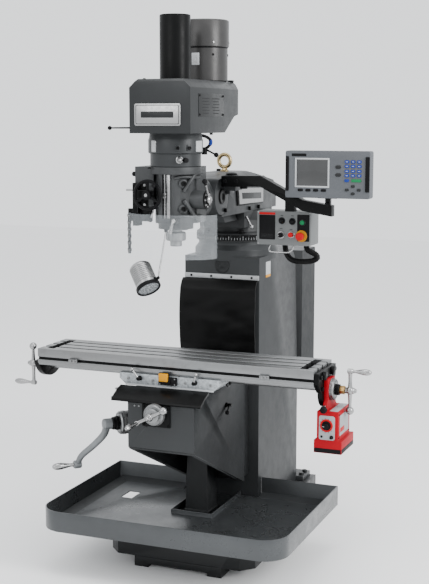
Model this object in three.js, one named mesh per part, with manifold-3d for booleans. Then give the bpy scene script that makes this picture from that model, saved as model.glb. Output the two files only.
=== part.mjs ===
// Vertical knee-type milling machine, in millimetres, +Z up.
// X runs along the table, -Y faces the operator, the floor is Z = 0.
// The column's front face is Y = 0 and the spindle's centre plane is X = 0.
import * as THREE from 'three';
import { mergeVertices } from 'three/addons/utils/BufferGeometryUtils.js';
import Module from 'manifold-3d';

const wasm = await Module();
wasm.setup();

// ---------- driving dimensions ----------
const GAP = 0.3; // clearance between touching pieces

const TABLE = { length: 1270, depth: 254, top: 963.5, height: 73.5, y: -470 };
const T_SLOT = { pitch: 63.5, width: 16, depth: 16, footWidth: 27, footDepth: 11 };
const SCREW = { y: -470, z: 866, radius: 12 }; // table lead screw axis
const SADDLE = { halfWidth: 232, front: -600, back: -300, bottom: 840, top: 889.7 };
const DOVETAIL = { halfWidth: 60, flare: 15, depth: 30 };
const KNEE = { halfWidth: 152, front: -685, back: -99, frontBottom: 580, backBottom: 305, top: 839.7, wall: 26 };
const CROSS = { x: -18, z: 747 }; // cross-feed screw axis, along Y
const LIFT = { x: 0, y: -249, shelf: 696 }; // elevating screw axis, along Z
const CRANK_SHAFT = { root: [-152, -487, 661], turn: Math.PI / 4 }; // knee crank shaft, out of the left side
const COLUMN = { halfWidth: 185, bottom: 124, top: 1334, topDepth: 528, bottomDepth: 623 };
const WAY = { halfWidth: 80, flare: 20, depth: 30, bottom: 330, top: 1215 }; // column's male dovetail
const TRAY = { halfWidth: 560, front: -766, back: 45, bottom: 200, height: 90, wall: 5, corner: 110 };
const TURRET = { y: 190, ringRadius: 190, ringBottom: 1401, ringTop: 1448 };
const RAM = { halfWidth: 110, front: -277, back: 438, bottom: 1541, top: 1725 };
const NOD = { y: -277, z: 1630, radius: 80 }; // ram adapter's cross axis
const TILT = { z: 1630, faceY: -375, radius: 105 }; // head's tilt axis, along Y
const SPINDLE_Y = -519;
const GUARD = { hingeX: -184, hingeY: -586, barRadius: 5, bottom: 1398, top: 1578 };
const FEED_Z = 1632; // height of the quill feed's cross shaft
const QUILL = { radius: 52, bottom: 1503, top: 1790 };
const MOTOR = { y: -205, radius: 101, capRadius: 107, bottom: 2123.3, capBottom: 2270, top: 2386 };
const ARM = { x: 150, y: -262, z: 1699, side: 46 }; // pendant arm's swivel

const paint = (color, roughness = 0.5, metalness = 0.1) => ({ color, roughness, metalness });
const FINISH = {
  greyPaint: paint(0x6a6c6d, 0.45),
  darkPaint: paint(0x4c5052, 0.5),
  castGrey: paint(0x85888a, 0.5),
  machined: paint(0x9a9da0, 0.35, 0.8),
  chrome: paint(0xe6e8ea, 0.12, 1),
  black: paint(0x1b1c1e, 0.4),
  rubber: paint(0x141517, 0.8, 0),
  red: paint(0xc0132b, 0.35),
  green: paint(0x1f8a4d, 0.4),
  brass: paint(0xc9a45a, 0.3, 1),
  panelGrey: paint(0xa9adb0, 0.4),
  clear: paint(0xe8eef0, 0.08, 0),
  silver: paint(0xd4d7d9, 0.25, 0.9),
};

// ---------- geometry helpers ----------
function box(x0, x1, y0, y1, z0, z1) {
  const geometry = new THREE.BoxGeometry(x1 - x0, y1 - y0, z1 - z0);
  return geometry.translate((x0 + x1) / 2, (y0 + y1) / 2, (z0 + z1) / 2);
}

function outline(points) {
  const corners = points.map(([a, b]) => new THREE.Vector2(a, b));
  if (THREE.ShapeUtils.area(corners) < 0) corners.reverse();
  return new THREE.Shape(corners);
}

// A plate whose outline lies in one plane and whose thickness runs along the third axis.
function plate(shape, from, to, plane = 'XY', curveSegments = 8) {
  const flat = Array.isArray(shape) ? outline(shape) : shape;
  const settings = { depth: to - from, bevelEnabled: false, curveSegments };
  const geometry = new THREE.ExtrudeGeometry(flat, settings);
  if (plane === 'XY') return geometry.translate(0, 0, from);
  if (plane === 'XZ') return geometry.rotateX(Math.PI / 2).translate(0, to, 0);
  const turn = new THREE.Matrix4().makeBasis(
    new THREE.Vector3(0, 1, 0),
    new THREE.Vector3(0, 0, 1),
    new THREE.Vector3(1, 0, 0),
  );
  return geometry.applyMatrix4(turn).translate(from, 0, 0);
}

function roundedRect(x0, x1, y0, y1, r) {
  const shape = new THREE.Shape();
  shape.moveTo(x0 + r, y0);
  shape.lineTo(x1 - r, y0);
  shape.absarc(x1 - r, y0 + r, r, -Math.PI / 2, 0);
  shape.lineTo(x1, y1 - r);
  shape.absarc(x1 - r, y1 - r, r, 0, Math.PI / 2);
  shape.lineTo(x0 + r, y1);
  shape.absarc(x0 + r, y1 - r, r, Math.PI / 2, Math.PI);
  shape.lineTo(x0, y0 + r);
  shape.absarc(x0 + r, y0 + r, r, Math.PI, 1.5 * Math.PI);
  return shape;
}

const AXES = { x: new THREE.Vector3(1, 0, 0), y: new THREE.Vector3(0, 1, 0), z: new THREE.Vector3(0, 0, 1) };

// A turned solid: profile is a list of [radius, distance along the axis].
function turned(profile, axis = 'z', sides = 24) {
  const points = profile.map(([r, h]) => new THREE.Vector2(r, h));
  if (THREE.ShapeUtils.area(points) < 0) points.reverse();
  const geometry = new THREE.LatheGeometry(points, sides);
  const turn = new THREE.Quaternion().setFromUnitVectors(AXES.y, AXES[axis]);
  return geometry.applyQuaternion(turn);
}

function disc(radius, from, to, axis = 'z', sides = 24) {
  return turned([[0, from], [radius, from], [radius, to], [0, to]], axis, sides);
}

function tube(inner, outer, from, to, axis = 'z', sides = 24) {
  const ring = [[inner, from], [outer, from], [outer, to], [inner, to], [inner, from]];
  return turned(ring, axis, sides);
}

function ball(radius, [x, y, z] = [0, 0, 0], sides = 12) {
  return new THREE.SphereGeometry(radius, sides, Math.round(sides / 2)).translate(x, y, z);
}

// A round bar between two points, which may taper.
function bar(from, to, radius, endRadius = radius, sides = 12) {
  const start = new THREE.Vector3(...from);
  const end = new THREE.Vector3(...to);
  const along = new THREE.Vector3().subVectors(end, start);
  const geometry = new THREE.CylinderGeometry(endRadius, radius, along.length(), sides);
  const turn = new THREE.Quaternion().setFromUnitVectors(AXES.y, along.clone().normalize());
  geometry.applyQuaternion(turn);
  return geometry.translate(...start.add(end).multiplyScalar(0.5).toArray());
}

// A tube swept along a smooth curve through the given points.
function swept(points, section, steps) {
  const curve = new THREE.CatmullRomCurve3(points.map((p) => new THREE.Vector3(...p)));
  return new THREE.ExtrudeGeometry(section, { steps, extrudePath: curve, bevelEnabled: false });
}

function ringSection(radius, sides) {
  const corner = (k) => {
    const angle = (2 * Math.PI * k) / sides;
    return new THREE.Vector2(radius * Math.cos(angle), radius * Math.sin(angle));
  };
  return new THREE.Shape(Array.from({ length: sides }, (_, k) => corner(k)));
}

function solid(geometry) {
  if (geometry instanceof wasm.Manifold) return geometry;
  const bare = geometry.clone();
  bare.deleteAttribute('normal');
  bare.deleteAttribute('uv');
  const merged = mergeVertices(bare, 1e-3);
  const index = merged.index.array;
  const kept = [];
  for (let i = 0; i < index.length; i += 3) {
    const [a, b, c] = [index[i], index[i + 1], index[i + 2]];
    if (a !== b && b !== c && a !== c) kept.push(a, b, c);
  }
  const vertProperties = new Float32Array(merged.attributes.position.array);
  const triVerts = new Uint32Array(kept);
  return new wasm.Manifold(new wasm.Mesh({ numProp: 3, vertProperties, triVerts }));
}

function toGeometry(manifold) {
  const mesh = manifold.getMesh();
  const geometry = new THREE.BufferGeometry();
  geometry.setAttribute('position', new THREE.BufferAttribute(mesh.vertProperties, 3));
  geometry.setIndex(new THREE.BufferAttribute(mesh.triVerts, 1));
  return geometry;
}

function join(...shapes) {
  return toGeometry(shapes.map(solid).reduce((all, next) => all.add(next)));
}

function cut(shape, ...tools) {
  return toGeometry(tools.map(solid).reduce((rest, tool) => rest.subtract(tool), solid(shape)));
}

function common(a, b) {
  return toGeometry(solid(a).intersect(solid(b)));
}

function piece(name, geometry, finish) {
  const mesh = new THREE.Mesh(geometry, new THREE.MeshStandardMaterial(finish));
  mesh.name = name;
  return mesh;
}

function groupAt([x, y, z], ...children) {
  const group = new THREE.Group();
  group.position.set(x, y, z);
  group.add(...children);
  return group;
}

// ---------- stand ----------
function base() {
  const slab = [
    [-290, -520], [290, -520], [343, -467], [343, -2], [-343, -2], [-343, -467],
  ];
  const front = plate(slab, 45, TRAY.bottom - GAP);
  const rear = box(-250, 250, -3, 700, 45, COLUMN.bottom - GAP);
  const foot = (y0, y1) => box(-207, 207, y0, y1, 0, 46);
  const arch = box(-140, 140, -530, -420, -1, 15);
  const feet = join(cut(foot(-523, -425), arch), foot(-70, 70), foot(560, 660));
  const spine = box(-90, 90, -426, 561, 20, 46);
  return join(front, rear, feet, spine);
}

function trayOutline(inset) {
  const { halfWidth, front, back, corner } = TRAY;
  const [w, y0, y1, r] = [halfWidth - inset, front + inset, back - inset, corner - inset];
  const shape = new THREE.Shape();
  shape.moveTo(-w + r, y0);
  shape.lineTo(w - r, y0);
  shape.absarc(w - r, y0 + r, r, -Math.PI / 2, 0);
  shape.lineTo(w, y1);
  shape.lineTo(-w, y1);
  shape.lineTo(-w, y0 + r);
  shape.absarc(-w + r, y0 + r, r, Math.PI, 1.5 * Math.PI);
  return shape;
}

function chipTray() {
  const { back, bottom, height, wall } = TRAY;
  const floor = bottom + 6;
  const pan = cut(
    plate(trayOutline(0), bottom, bottom + height),
    plate(trayOutline(wall), floor, bottom + height + 1),
  );
  const curbHalf = 100;
  const curb = box(-curbHalf, curbHalf, -367, back, bottom, bottom + 26);
  const well = box(-curbHalf + 5, curbHalf - 5, -362, back + 1, bottom - 1, bottom + 27);
  const room = COLUMN.halfWidth + 2;
  const columnGap = box(-room, room, -2, back + 1, bottom - 1, bottom + height + 1);
  const drain = box(-414, -358, -240, -140, bottom - 1, floor + 1);
  return cut(join(pan, curb), well, columnGap, drain);
}

function column() {
  const { halfWidth: w, bottom, top, topDepth, bottomDepth } = COLUMN;
  const profile = new THREE.Shape();
  profile.moveTo(0, bottom);
  profile.lineTo(bottomDepth, bottom);
  profile.lineTo(topDepth, 1235);
  profile.absarc(topDepth - 99, 1235, 99, 0, Math.PI / 2);
  profile.lineTo(0, top);
  const body = plate(profile, -w, w, 'YZ');
  const roundedBack = plate(roundedRect(-w, w, -300, bottomDepth, 60), bottom - 1, top + 1);
  const { halfWidth, flare, depth } = WAY;
  const way = plate(
    [[-halfWidth, 1], [-halfWidth - flare, -depth], [halfWidth + flare, -depth], [halfWidth, 1]],
    WAY.bottom, WAY.top,
  );
  const neck = turned([[0, top - 20], [197, top - 20], [197, 1362], [180, 1385], [180, TURRET.ringBottom - GAP],
    [0, TURRET.ringBottom - GAP]], 'z', 28).translate(0, TURRET.y, 0);
  const flange = box(-w - 40, w + 40, 560, 680, bottom, bottom + 26);
  return join(common(body, roundedBack), way, neck, flange);
}

function screwHousing() {
  const bottom = TRAY.bottom;
  const tower = turned([[0, bottom], [83, bottom], [83, bottom + 12], [78, bottom + 14], [62, 640], [0, 640]], 'z', 4);
  tower.rotateZ(Math.PI / 4);
  const bore = disc(21, bottom - 1, 641, 'z', 24);
  return cut(tower, bore).translate(LIFT.x, LIFT.y, 0);
}

const CABINET = { halfWidth: 200, front: 590, back: 790, bottom: 700, top: 1310 };

function electricalCabinet() {
  const { halfWidth: w, front, back, bottom, top } = CABINET;
  const body = box(-w, w, front, back, bottom, top);
  const upperSpacer = box(-100, 100, 536, front + 1, 1150, 1210);
  const lowerSpacer = box(-100, 100, 586, front + 1, 715, 745);
  const inside = box(-w + 14, w - 14, front + 60, back + 1, bottom + 14, top - 14);
  return cut(join(body, upperSpacer, lowerSpacer), inside);
}

function cabinetDoor() {
  const { halfWidth: w, back, bottom, top } = CABINET;
  return box(-w, w, back + 1, back + 14, bottom + 2, top - 2);
}

// The rubber apron hangs in front of the column ways, between the column top and the saddle.
function rearWayCover() {
  const wave = (z) => -46 - 6 * Math.sin((z - 964) / 45);
  const levels = Array.from({ length: 13 }, (_, k) => 850 + (k * 388) / 12);
  const front = levels.map((z) => [wave(z) - 5, z]);
  const back = levels.slice().reverse().map((z) => [wave(z), z]);
  return plate([...front, ...back], -COLUMN.halfWidth - 8, COLUMN.halfWidth - 4, 'YZ');
}

// ---------- knee ----------
function dovetail(halfWidth, flare, depth, play = 0) {
  const [narrow, wide] = [halfWidth + play, halfWidth + flare + play];
  return [[-narrow, 0], [-wide, -depth - play], [wide, -depth - play], [narrow, 0]];
}

function knee() {
  const { halfWidth: w, front, back, frontBottom, backBottom, top, wall } = KNEE;
  const side = [
    [front, frontBottom + 12], [front + 12, frontBottom], [back, backBottom], [back, top], [-600, top],
    [-604, 824], [-640, 812], [-668, 797], [front, 784],
  ];
  const shell = plate(side, -w, w, 'YZ');
  const saddleWays = 60;
  const inner = [
    [front + wall, frontBottom - 60], [back - wall, backBottom - 60], [back - wall, top - saddleWays],
    [-610, top - saddleWays], [front + wall, 768],
  ];
  const hollow = plate(inner, -w + wall, w - wall, 'YZ');
  const rear = box(-135, 135, back - 1, -3, backBottom + 10, top - 10);
  const slot = plate(dovetail(WAY.halfWidth, WAY.flare, WAY.depth, 1), backBottom - 1, top + 1);
  const groove = plate(
    dovetail(DOVETAIL.halfWidth, DOVETAIL.flare, DOVETAIL.depth, 1).map(([x, z]) => [x, z + top + 0.2]),
    front - 1, 0, 'XZ',
  );
  const nutSlot = box(CROSS.x - 24, CROSS.x + 24, -610, -115, top - saddleWays - 1, top);
  const screwHole = disc(13, front - 1, front + wall + 1, 'y', 20).translate(CROSS.x, 0, CROSS.z);
  const shelf = box(-w + 1, w - 1, LIFT.y - 80, LIFT.y + 80, LIFT.shelf, LIFT.shelf + 20);
  const liftHole = disc(19.6, LIFT.shelf - 1, LIFT.shelf + 21, 'z', 20).translate(LIFT.x, LIFT.y, 0);
  const boss = alongCrankShaft(disc(50, -40, 108, 'z', 24));
  const shaftHole = alongCrankShaft(disc(15, -80, 109, 'z', 20));
  const trimmed = cut(boss, box(-w + wall, 0, -700, 0, 500, 800));
  return cut(join(cut(shell, hollow), rear, trimmed, shelf), slot, groove, nutSlot, screwHole, liftHole, shaftHole);
}

// Places a shape made along +Z onto the slanting knee crank shaft; the shape's +Y points down.
function alongCrankShaft(geometry) {
  const { root, turn } = CRANK_SHAFT;
  const direction = new THREE.Vector3(-Math.cos(turn), -Math.sin(turn), 0);
  const across = new THREE.Vector3(-Math.sin(turn), Math.cos(turn), 0);
  const basis = new THREE.Matrix4().makeBasis(across, new THREE.Vector3().crossVectors(direction, across), direction);
  return geometry.applyMatrix4(basis).translate(...root);
}

function crossFeedPlate() {
  const panel = box(-83, 45, KNEE.front - 8, KNEE.front - GAP, 691, 784);
  return cut(panel, disc(13, -700, -680, 'y', 20).translate(CROSS.x, 0, CROSS.z));
}

function kneeLock() {
  const stem = bar([KNEE.halfWidth + GAP, -330, 720], [KNEE.halfWidth + 26, -330, 720], 9);
  const lever = bar([KNEE.halfWidth + 18, -330, 720], [KNEE.halfWidth + 34, -398, 706], 6, 5);
  return join(stem, lever, ball(10, [KNEE.halfWidth + 34, -400, 705], 12));
}

function elevatingScrew() {
  return disc(19, TRAY.bottom + 6, LIFT.shelf + 28, 'z', 20).translate(LIFT.x, LIFT.y, 0);
}

// The knee crank: shaft, graduated dial, clutch collar, then an S-shaped arm.
const KNEE_CRANK = { hub: 188, reach: 121, drop: 201, offset: 100 };

function elevatingCrank() {
  const dial = join(disc(52, 108.3, 130), disc(44, 130, 137), disc(14, -60, 110, 'z', 20));
  const collar = disc(31, 137, 166, 'z', 24);
  const hub = disc(24, 166, 208, 'z', 20);
  const { reach, drop, offset } = KNEE_CRANK;
  const at = (share, out) => [reach * share, drop * share, KNEE_CRANK.hub + offset * out];
  const arm = swept([at(0, 0), at(0.28, 0.05), at(0.55, 0.45), at(0.8, 0.9), at(1, 1)], ringSection(15, 8), 12);
  const eye = disc(19, KNEE_CRANK.hub + offset - 17, KNEE_CRANK.hub + offset + 17, 'z', 20).translate(reach, drop, 0);
  return alongCrankShaft(join(dial, collar, hub, arm, eye));
}

function elevatingGrip() {
  const start = KNEE_CRANK.hub + KNEE_CRANK.offset + 17 + GAP;
  const profile = [[0, start], [9, start], [8, start + 14], [15, start + 50], [16, start + 75], [9, start + 96], [0, start + 98]];
  return alongCrankShaft(turned(profile, 'z', 16).translate(KNEE_CRANK.reach, KNEE_CRANK.drop, 0));
}

function crossScrew() {
  const dial = join(disc(47, -724, -700.3, 'y'), disc(30, -736, -693.4, 'y'));
  return join(disc(11, -742, -180, 'y', 20), dial).translate(CROSS.x, 0, CROSS.z);
}

// A balanced crank: a hub, a long arm with a ball, a short arm with the grip's boss.
function ballCrank(hub, ballEnd, gripEnd, axis) {
  const sleeve = bar(hub.map((c, i) => c - 20 * axis[i]), hub.map((c, i) => c + 18 * axis[i]), 13);
  const arms = join(bar(hub, ballEnd, 9, 7), bar(hub, gripEnd, 9, 7));
  const boss = bar(gripEnd.map((c, i) => c - 10 * axis[i]), gripEnd.map((c, i) => c + 10 * axis[i]), 10);
  return join(sleeve, ball(17, hub), arms, ball(17, ballEnd, 14), boss);
}

function crankGrip(from, axis, length) {
  const start = new THREE.Vector3(...from).addScaledVector(axis, 10.4);
  const profile = [[0, 0], [7, 0], [6, 8], [12, length * 0.5], [13, length * 0.72], [7, length], [0, length + 1]];
  const geometry = turned(profile, 'y', 14);
  geometry.applyQuaternion(new THREE.Quaternion().setFromUnitVectors(AXES.y, axis));
  return geometry.translate(...start.toArray());
}

// ---------- saddle ----------
function saddle() {
  const { halfWidth: w, front, back, bottom, top } = SADDLE;
  const profile = [[-w + 30, bottom], [w - 30, bottom], [w, bottom + 26], [w, top], [-w, top], [-w, bottom + 26]];
  const block = plate(profile, front, back, 'XZ');
  const keel = plate(
    dovetail(DOVETAIL.halfWidth, DOVETAIL.flare, DOVETAIL.depth).map(([x, z]) => [x, z + bottom + 0.3]),
    front + 2, back - 2, 'XZ',
  );
  const rail = plate(
    [[-545, top - 1], [-395, top - 1], [-385, top + 22], [-555, top + 22]],
    -w + 2, w - 2, 'YZ',
  );
  const nut = box(CROSS.x - 20, CROSS.x + 20, -495, -455, 729, bottom);
  const screwBore = disc(SCREW.radius + 0.5, -w - 1, w + 1, 'x', 20).translate(0, SCREW.y, SCREW.z);
  const nutBore = disc(11.6, -496, -454, 'y', 20).translate(CROSS.x, 0, CROSS.z);
  return cut(join(block, keel, rail, nut), screwBore, nutBore);
}

// The rubber cover drops from the saddle's front edge and reaches over the knee.
function frontWayCover() {
  const section = [
    [SADDLE.front - 4.6, 838], [-640, 827], [-668, 813], [-694, 799], [-698, 791], [-694, 787], [-688, 790],
    [-666, 802], [-638, 817], [SADDLE.front - 4.6, 828],
  ];
  return plate(section, -225, 184, 'YZ');
}

function limitSwitch() {
  const body = box(-43, 39, -614, SADDLE.front - GAP, 853, 888);
  return join(body, box(-25, 14, -622, -613, 862, 886));
}

function tableLock(x, lean) {
  const [y, z] = [SADDLE.front, 872];
  const tip = [x + lean, y - 22, z + 40];
  const stem = bar([x, y - GAP, z], [x, y - 20, z], 8);
  return join(stem, bar([x, y - 15, z], tip, 5, 4), ball(8.5, tip, 12));
}

// ---------- table ----------
const { y: screwY, z: screwZ } = SCREW;
const LEFT_HUB = -733;
const RIGHT_HUB = 752;
const RIGHT_BRACKET = 20; // thickness of the plate between the table and the power feed

function table() {
  const { length, depth, top, height, y } = TABLE;
  const half = length / 2;
  const [front, back, bottom] = [y - depth / 2, y + depth / 2, top - height];
  const lip = 9;
  const section = [
    [front, top], [front, bottom + 37], [front + 9, bottom + 37], [front + 9, bottom + 25], [front, bottom + 25],
    [front, bottom + lip], [front + 8, bottom + lip], [front + 8, bottom], [-555.5, bottom], [-565.5, bottom + 24],
    [-374.5, bottom + 24], [-384.5, bottom], [back - 8, bottom], [back - 8, bottom + lip], [back, bottom + lip],
    [back, top],
  ];
  const body = plate(section, -half, half, 'YZ');
  const slots = [-1, 0, 1].map((k) => {
    const centre = y + k * T_SLOT.pitch;
    const [neck, foot] = [T_SLOT.width / 2, T_SLOT.footWidth / 2];
    const shape = [
      [centre - neck, top + 1], [centre - neck, top - T_SLOT.depth], [centre - foot, top - T_SLOT.depth],
      [centre - foot, top - T_SLOT.depth - T_SLOT.footDepth], [centre + foot, top - T_SLOT.depth - T_SLOT.footDepth],
      [centre + foot, top - T_SLOT.depth], [centre + neck, top - T_SLOT.depth], [centre + neck, top + 1],
    ];
    return plate(shape, -half - 1, half + 1, 'YZ');
  });
  const troughs = [-1, 1].map((side) => box(side * 585 - 17, side * 585 + 17, front + 24, back - 24, top - 24, top + 1));
  return cut(body, ...slots, ...troughs);
}

// The right bracket is a broad plate that narrows to a round lobe round the screw.
function rightBracketOutline() {
  const { y } = TABLE;
  const reach = SCREW.z - 792;
  const shape = new THREE.Shape();
  shape.moveTo(y - 122, 950);
  shape.lineTo(y - 122, 905);
  shape.lineTo(y - reach - 14, SCREW.z);
  shape.absarc(y, SCREW.z, reach, Math.PI, 2 * Math.PI);
  shape.lineTo(y + reach + 14, SCREW.z);
  shape.lineTo(y + 122, 905);
  shape.lineTo(y + 122, 950);
  return shape;
}

// The left bracket is a shallow half-round plate.
function leftBracketOutline() {
  const [top, centre, radius] = [905, 944.4, 124.4];
  const start = Math.asin((centre - top) / radius);
  const shape = new THREE.Shape();
  shape.absarc(TABLE.y, centre, radius, Math.PI + start, 2 * Math.PI - start);
  return shape;
}

function endBracket(side, shape, thickness) {
  const inner = TABLE.length / 2 + GAP;
  const [x0, x1] = side > 0 ? [inner, inner + thickness] : [-inner - thickness, -inner];
  const bore = disc(SCREW.radius + 0.5, x0 - 1, x1 + 1, 'x', 20).translate(0, SCREW.y, SCREW.z);
  return cut(plate(shape, x0, x1, 'YZ'), bore);
}

function powerFeed() {
  const [neckFrom, neckTo] = [TABLE.length / 2 + RIGHT_BRACKET + 2 * GAP, 674];
  const neck = box(neckFrom, neckTo, -520, -420, 790, 912);
  const shoulder = plate([[-545, 790], [-395, 790], [-420, 830], [-520, 830]], neckFrom, neckTo, 'YZ');
  const body = box(640, 730, -562, -392, 650, 791.7);
  const wide = box(628, 745, -562, -380, 618, 672);
  const bore = disc(SCREW.radius + 0.5, 640, 745, 'x', 20).translate(0, SCREW.y, SCREW.z);
  return cut(join(neck, shoulder, body, wide), bore);
}

function feedLever() {
  const stem = bar([665, -545.4, 808], [665, -566, 808], 7);
  const arm = bar([665, -562, 808], [675, -587, 806], 6, 5);
  return join(stem, arm, ball(15, [677, -592, 806], 16));
}

function feedKnob() {
  const profile = [[0, -562.4], [19, -562.4], [19, -567], [14, -568], [14, -586], [0, -586]];
  return turned(profile, 'y', 24).translate(682, 0, 735);
}

function leadScrew() {
  const rod = disc(SCREW.radius, -714.6, 731.6, 'x', 16);
  const profile = [[0, 674.4], [45, 674.4], [45, 689], [38, 692], [23, 693], [23, 710], [18, 711], [18, 731.6], [0, 731.6]];
  const dial = turned(profile, 'x', 24);
  return join(rod, dial).translate(0, SCREW.y, SCREW.z);
}

// ---------- turret and ram ----------
function turret() {
  const ring = turned([[0, TURRET.ringBottom], [TURRET.ringRadius, TURRET.ringBottom], [TURRET.ringRadius, 1440],
    [176, TURRET.ringTop], [168, 1500], [130, RAM.bottom - GAP], [0, RAM.bottom - GAP]], 'z', 28);
  const block = box(-RAM.halfWidth, RAM.halfWidth, -190, 190, 1470, RAM.bottom - GAP);
  const slot = plate(
    dovetail(60, 15, 36, 1).map(([x, z]) => [x, z + RAM.bottom + 0.2]),
    -TURRET.ringRadius - 10, TURRET.ringRadius + 10, 'XZ',
  );
  return cut(join(ring, block), slot).translate(0, TURRET.y, 0);
}

function ram() {
  const { halfWidth: w, front, back, bottom, top } = RAM;
  const side = new THREE.Shape();
  side.moveTo(front, bottom);
  side.lineTo(back, bottom);
  side.lineTo(back, 1640);
  side.lineTo(back - 40, 1672);
  side.quadraticCurveTo(260, 1694, 130, top);
  side.lineTo(-60, top);
  side.lineTo(front, 1700);
  const body = plate(side, -w, w, 'YZ');
  const crown = plate(roundedRect(-w, w, bottom - 100, top, 55), front - 1, back + 1, 'XZ');
  const keel = plate(
    dovetail(60, 15, 36).map(([x, z]) => [x, z + bottom + 0.3]),
    -150, back, 'XZ',
  );
  const fork = disc(NOD.radius + 1.5, -w - 1, w + 1, 'x', 28).translate(0, NOD.y, NOD.z);
  const badge = plate([[-92, 1582], [-92, 1652], [239, 1666], [239, 1596]], w - 1, w + 6, 'YZ');
  const armFoot = join(box(w - 1, 168, -262, -180, 1655, 1676), box(w - 1, w + 20, -232, -180, 1640, 1724));
  return cut(join(common(body, crown), keel, badge, armFoot), fork);
}

function eyeBolt() {
  const top = RAM.top;
  const ring = new THREE.TorusGeometry(28.5, 9, 8, 24).rotateX(Math.PI / 2);
  ring.translate(0, 33, top + 48);
  const collar = turned([[0, top + GAP], [19, top + GAP], [19, top + 5], [11, top + 14], [0, top + 16]], 'z', 20);
  return join(collar.translate(0, 33, 0), ring, disc(9, top + 10, top + 22, 'z', 16).translate(0, 33, 0));
}

function ramAdapter() {
  const knuckle = disc(NOD.radius, -RAM.halfWidth, RAM.halfWidth, 'x', 28).translate(0, NOD.y, NOD.z);
  const neck = box(-84, 84, TILT.faceY, NOD.y, NOD.z - 48, NOD.z + 48);
  const face = disc(TILT.radius, TILT.faceY, TILT.faceY + 24, 'y', 28).translate(0, 0, TILT.z);
  return join(knuckle, neck, face);
}

// ---------- pendant arm ----------
function pendantArm() {
  const { x, y, z, side } = ARM;
  const half = side / 2;
  const hub = disc(30, z - 22.7, z + 26, 'z', 24).translate(x, y, 0);
  const route = [[x, z], [303, 1702], [492, 1604], [618, 1584]];
  const lower = route.map(([a, b]) => [a, b - half]);
  const upper = route.slice().reverse().map(([a, b]) => [a, b + half]);
  const beam = plate([...lower, ...upper], -322, -278, 'XZ');
  const knuckle = box(x - 24, x + 60, -322, y + 24, z - 22.7, z + half);
  const post = box(590, 612, -323, -302, 1600, 1640);
  const plateMount = box(560, 640, -324, -316, 1636, 1700);
  const boxMount = box(400, 440, -279, -240, CONTROL.z1 + GAP, 1645);
  return join(hub, beam, knuckle, post, plateMount, boxMount);
}

function readout() {
  const shell = plate(roundedRect(435, 794, 1641, 1834, 8), -380, -324.3, 'XZ');
  const screen = box(483, 618, -381, -378, 1690, 1799);
  return cut(shell, screen);
}

const CONTROL = { x0: 274, x1: 515, z0: 1429, z1: 1574, front: -276, back: -166 };

// Push buttons and the selector on the control box: centre, radius, how far they stand out.
const BUTTONS = {
  e_stop: { x: 474, z: 1471, radius: 17, reach: 34 },
  start_button: { x: 479, z: 1529, radius: 10, reach: 14 },
  stop_button: { x: 428, z: 1475, radius: 11, reach: 16 },
  selector_knob: { x: 383, z: 1473, radius: 11, reach: 20 },
};
const STEM_SHARE = 0.7;

function controlBox() {
  const { x0, x1, z0, z1, front, back } = CONTROL;
  const holes = Object.values(BUTTONS).map(({ x, z, radius }) => {
    const hole = disc(radius * STEM_SHARE + 0.6, front - 1, front + 16, 'y', 16);
    return hole.translate(x, 0, z);
  });
  return cut(plate(roundedRect(x0, x1, z0, z1, 6), front, back, 'XZ'), ...holes);
}

function pushButton({ x, z, radius, reach }) {
  const stem = radius * STEM_SHARE;
  const inner = CONTROL.front + 6;
  const tip = CONTROL.front - reach;
  const headBack = CONTROL.front - reach * 0.5;
  const profile = [
    [0, inner], [stem, inner], [stem, headBack], [radius, headBack - 1], [radius, tip + 3], [radius * 0.8, tip], [0, tip],
  ];
  return turned(profile, 'y', 16).translate(x, 0, z);
}

// The corrugated conduit leaves the box, hangs in a loop and rises behind it into the arm.
const CONDUIT = {
  radius: 13,
  points: [
    [478, -215, 1428.6], [478, -215, 1418], [484, -216, 1406], [502, -217, 1397], [522, -220, 1388], [528, -221, 1374],
    [510, -220, 1362], [478, -216, 1356], [442, -208, 1354], [406, -192, 1358], [378, -168, 1372],
    [360, -146, 1396], [354, -136, 1430], [354, -132, 1470], [360, -132, 1515], [374, -136, 1556],
    [394, -150, 1590], [410, -176, 1608], [420, -206, 1613], [420, -239.7, 1613],
  ],
};

function conduit() {
  return swept(CONDUIT.points, ringSection(CONDUIT.radius, 8), 44);
}

// ---------- head ----------
function quillHousing() {
  const bottom = 1533;
  const top = 1767;
  const shape = new THREE.Shape();
  shape.moveTo(88, -400);
  shape.lineTo(-88, -400);
  shape.lineTo(-95, -519);
  shape.absarc(0, SPINDLE_Y, 86, Math.PI, 2 * Math.PI);
  shape.lineTo(95, -519);
  const barrel = plate(shape, bottom, top);
  const nose = disc(74, bottom - 24, bottom + 1, 'z', 24).translate(0, SPINDLE_Y, 0);
  const face = disc(TILT.radius, TILT.faceY - 26, TILT.faceY - GAP, 'y', 28).translate(0, 0, TILT.z);
  const flange = disc(108, 1738, top, 'z', 28).translate(0, SPINDLE_Y, 0);
  const feedBox = box(-155, -70, -588, -440, 1590, top);
  const clutch = disc(40, 70, 138, 'x', 24).translate(0, SPINDLE_Y, FEED_Z);
  const slotBoss = box(-34, 18, -617, -590, 1536, 1756);
  const bore = disc(QUILL.radius + 0.5, bottom - 30, top + 1, 'z', 28).translate(0, SPINDLE_Y, 0);
  const stopSlot = box(-18, 2, -618, -606, 1556, 1740);
  const quillLockBoss = disc(13, -626, -575, 'y', 20).translate(38, 0, 1548);
  const casting = join(barrel, nose, face, flange, feedBox, clutch, slotBoss, quillLockBoss, feedBracket());
  return cut(casting, bore, stopSlot);
}

function neck() {
  const [from, to] = [1767 + GAP, 1905];
  const wall = [[60, from], [106, from], [106, 1823], [112, 1824], [114, 1880], [108, to], [60, to], [60, from]];
  return turned(wall, 'z', 28).translate(0, SPINDLE_Y, 0);
}

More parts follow.
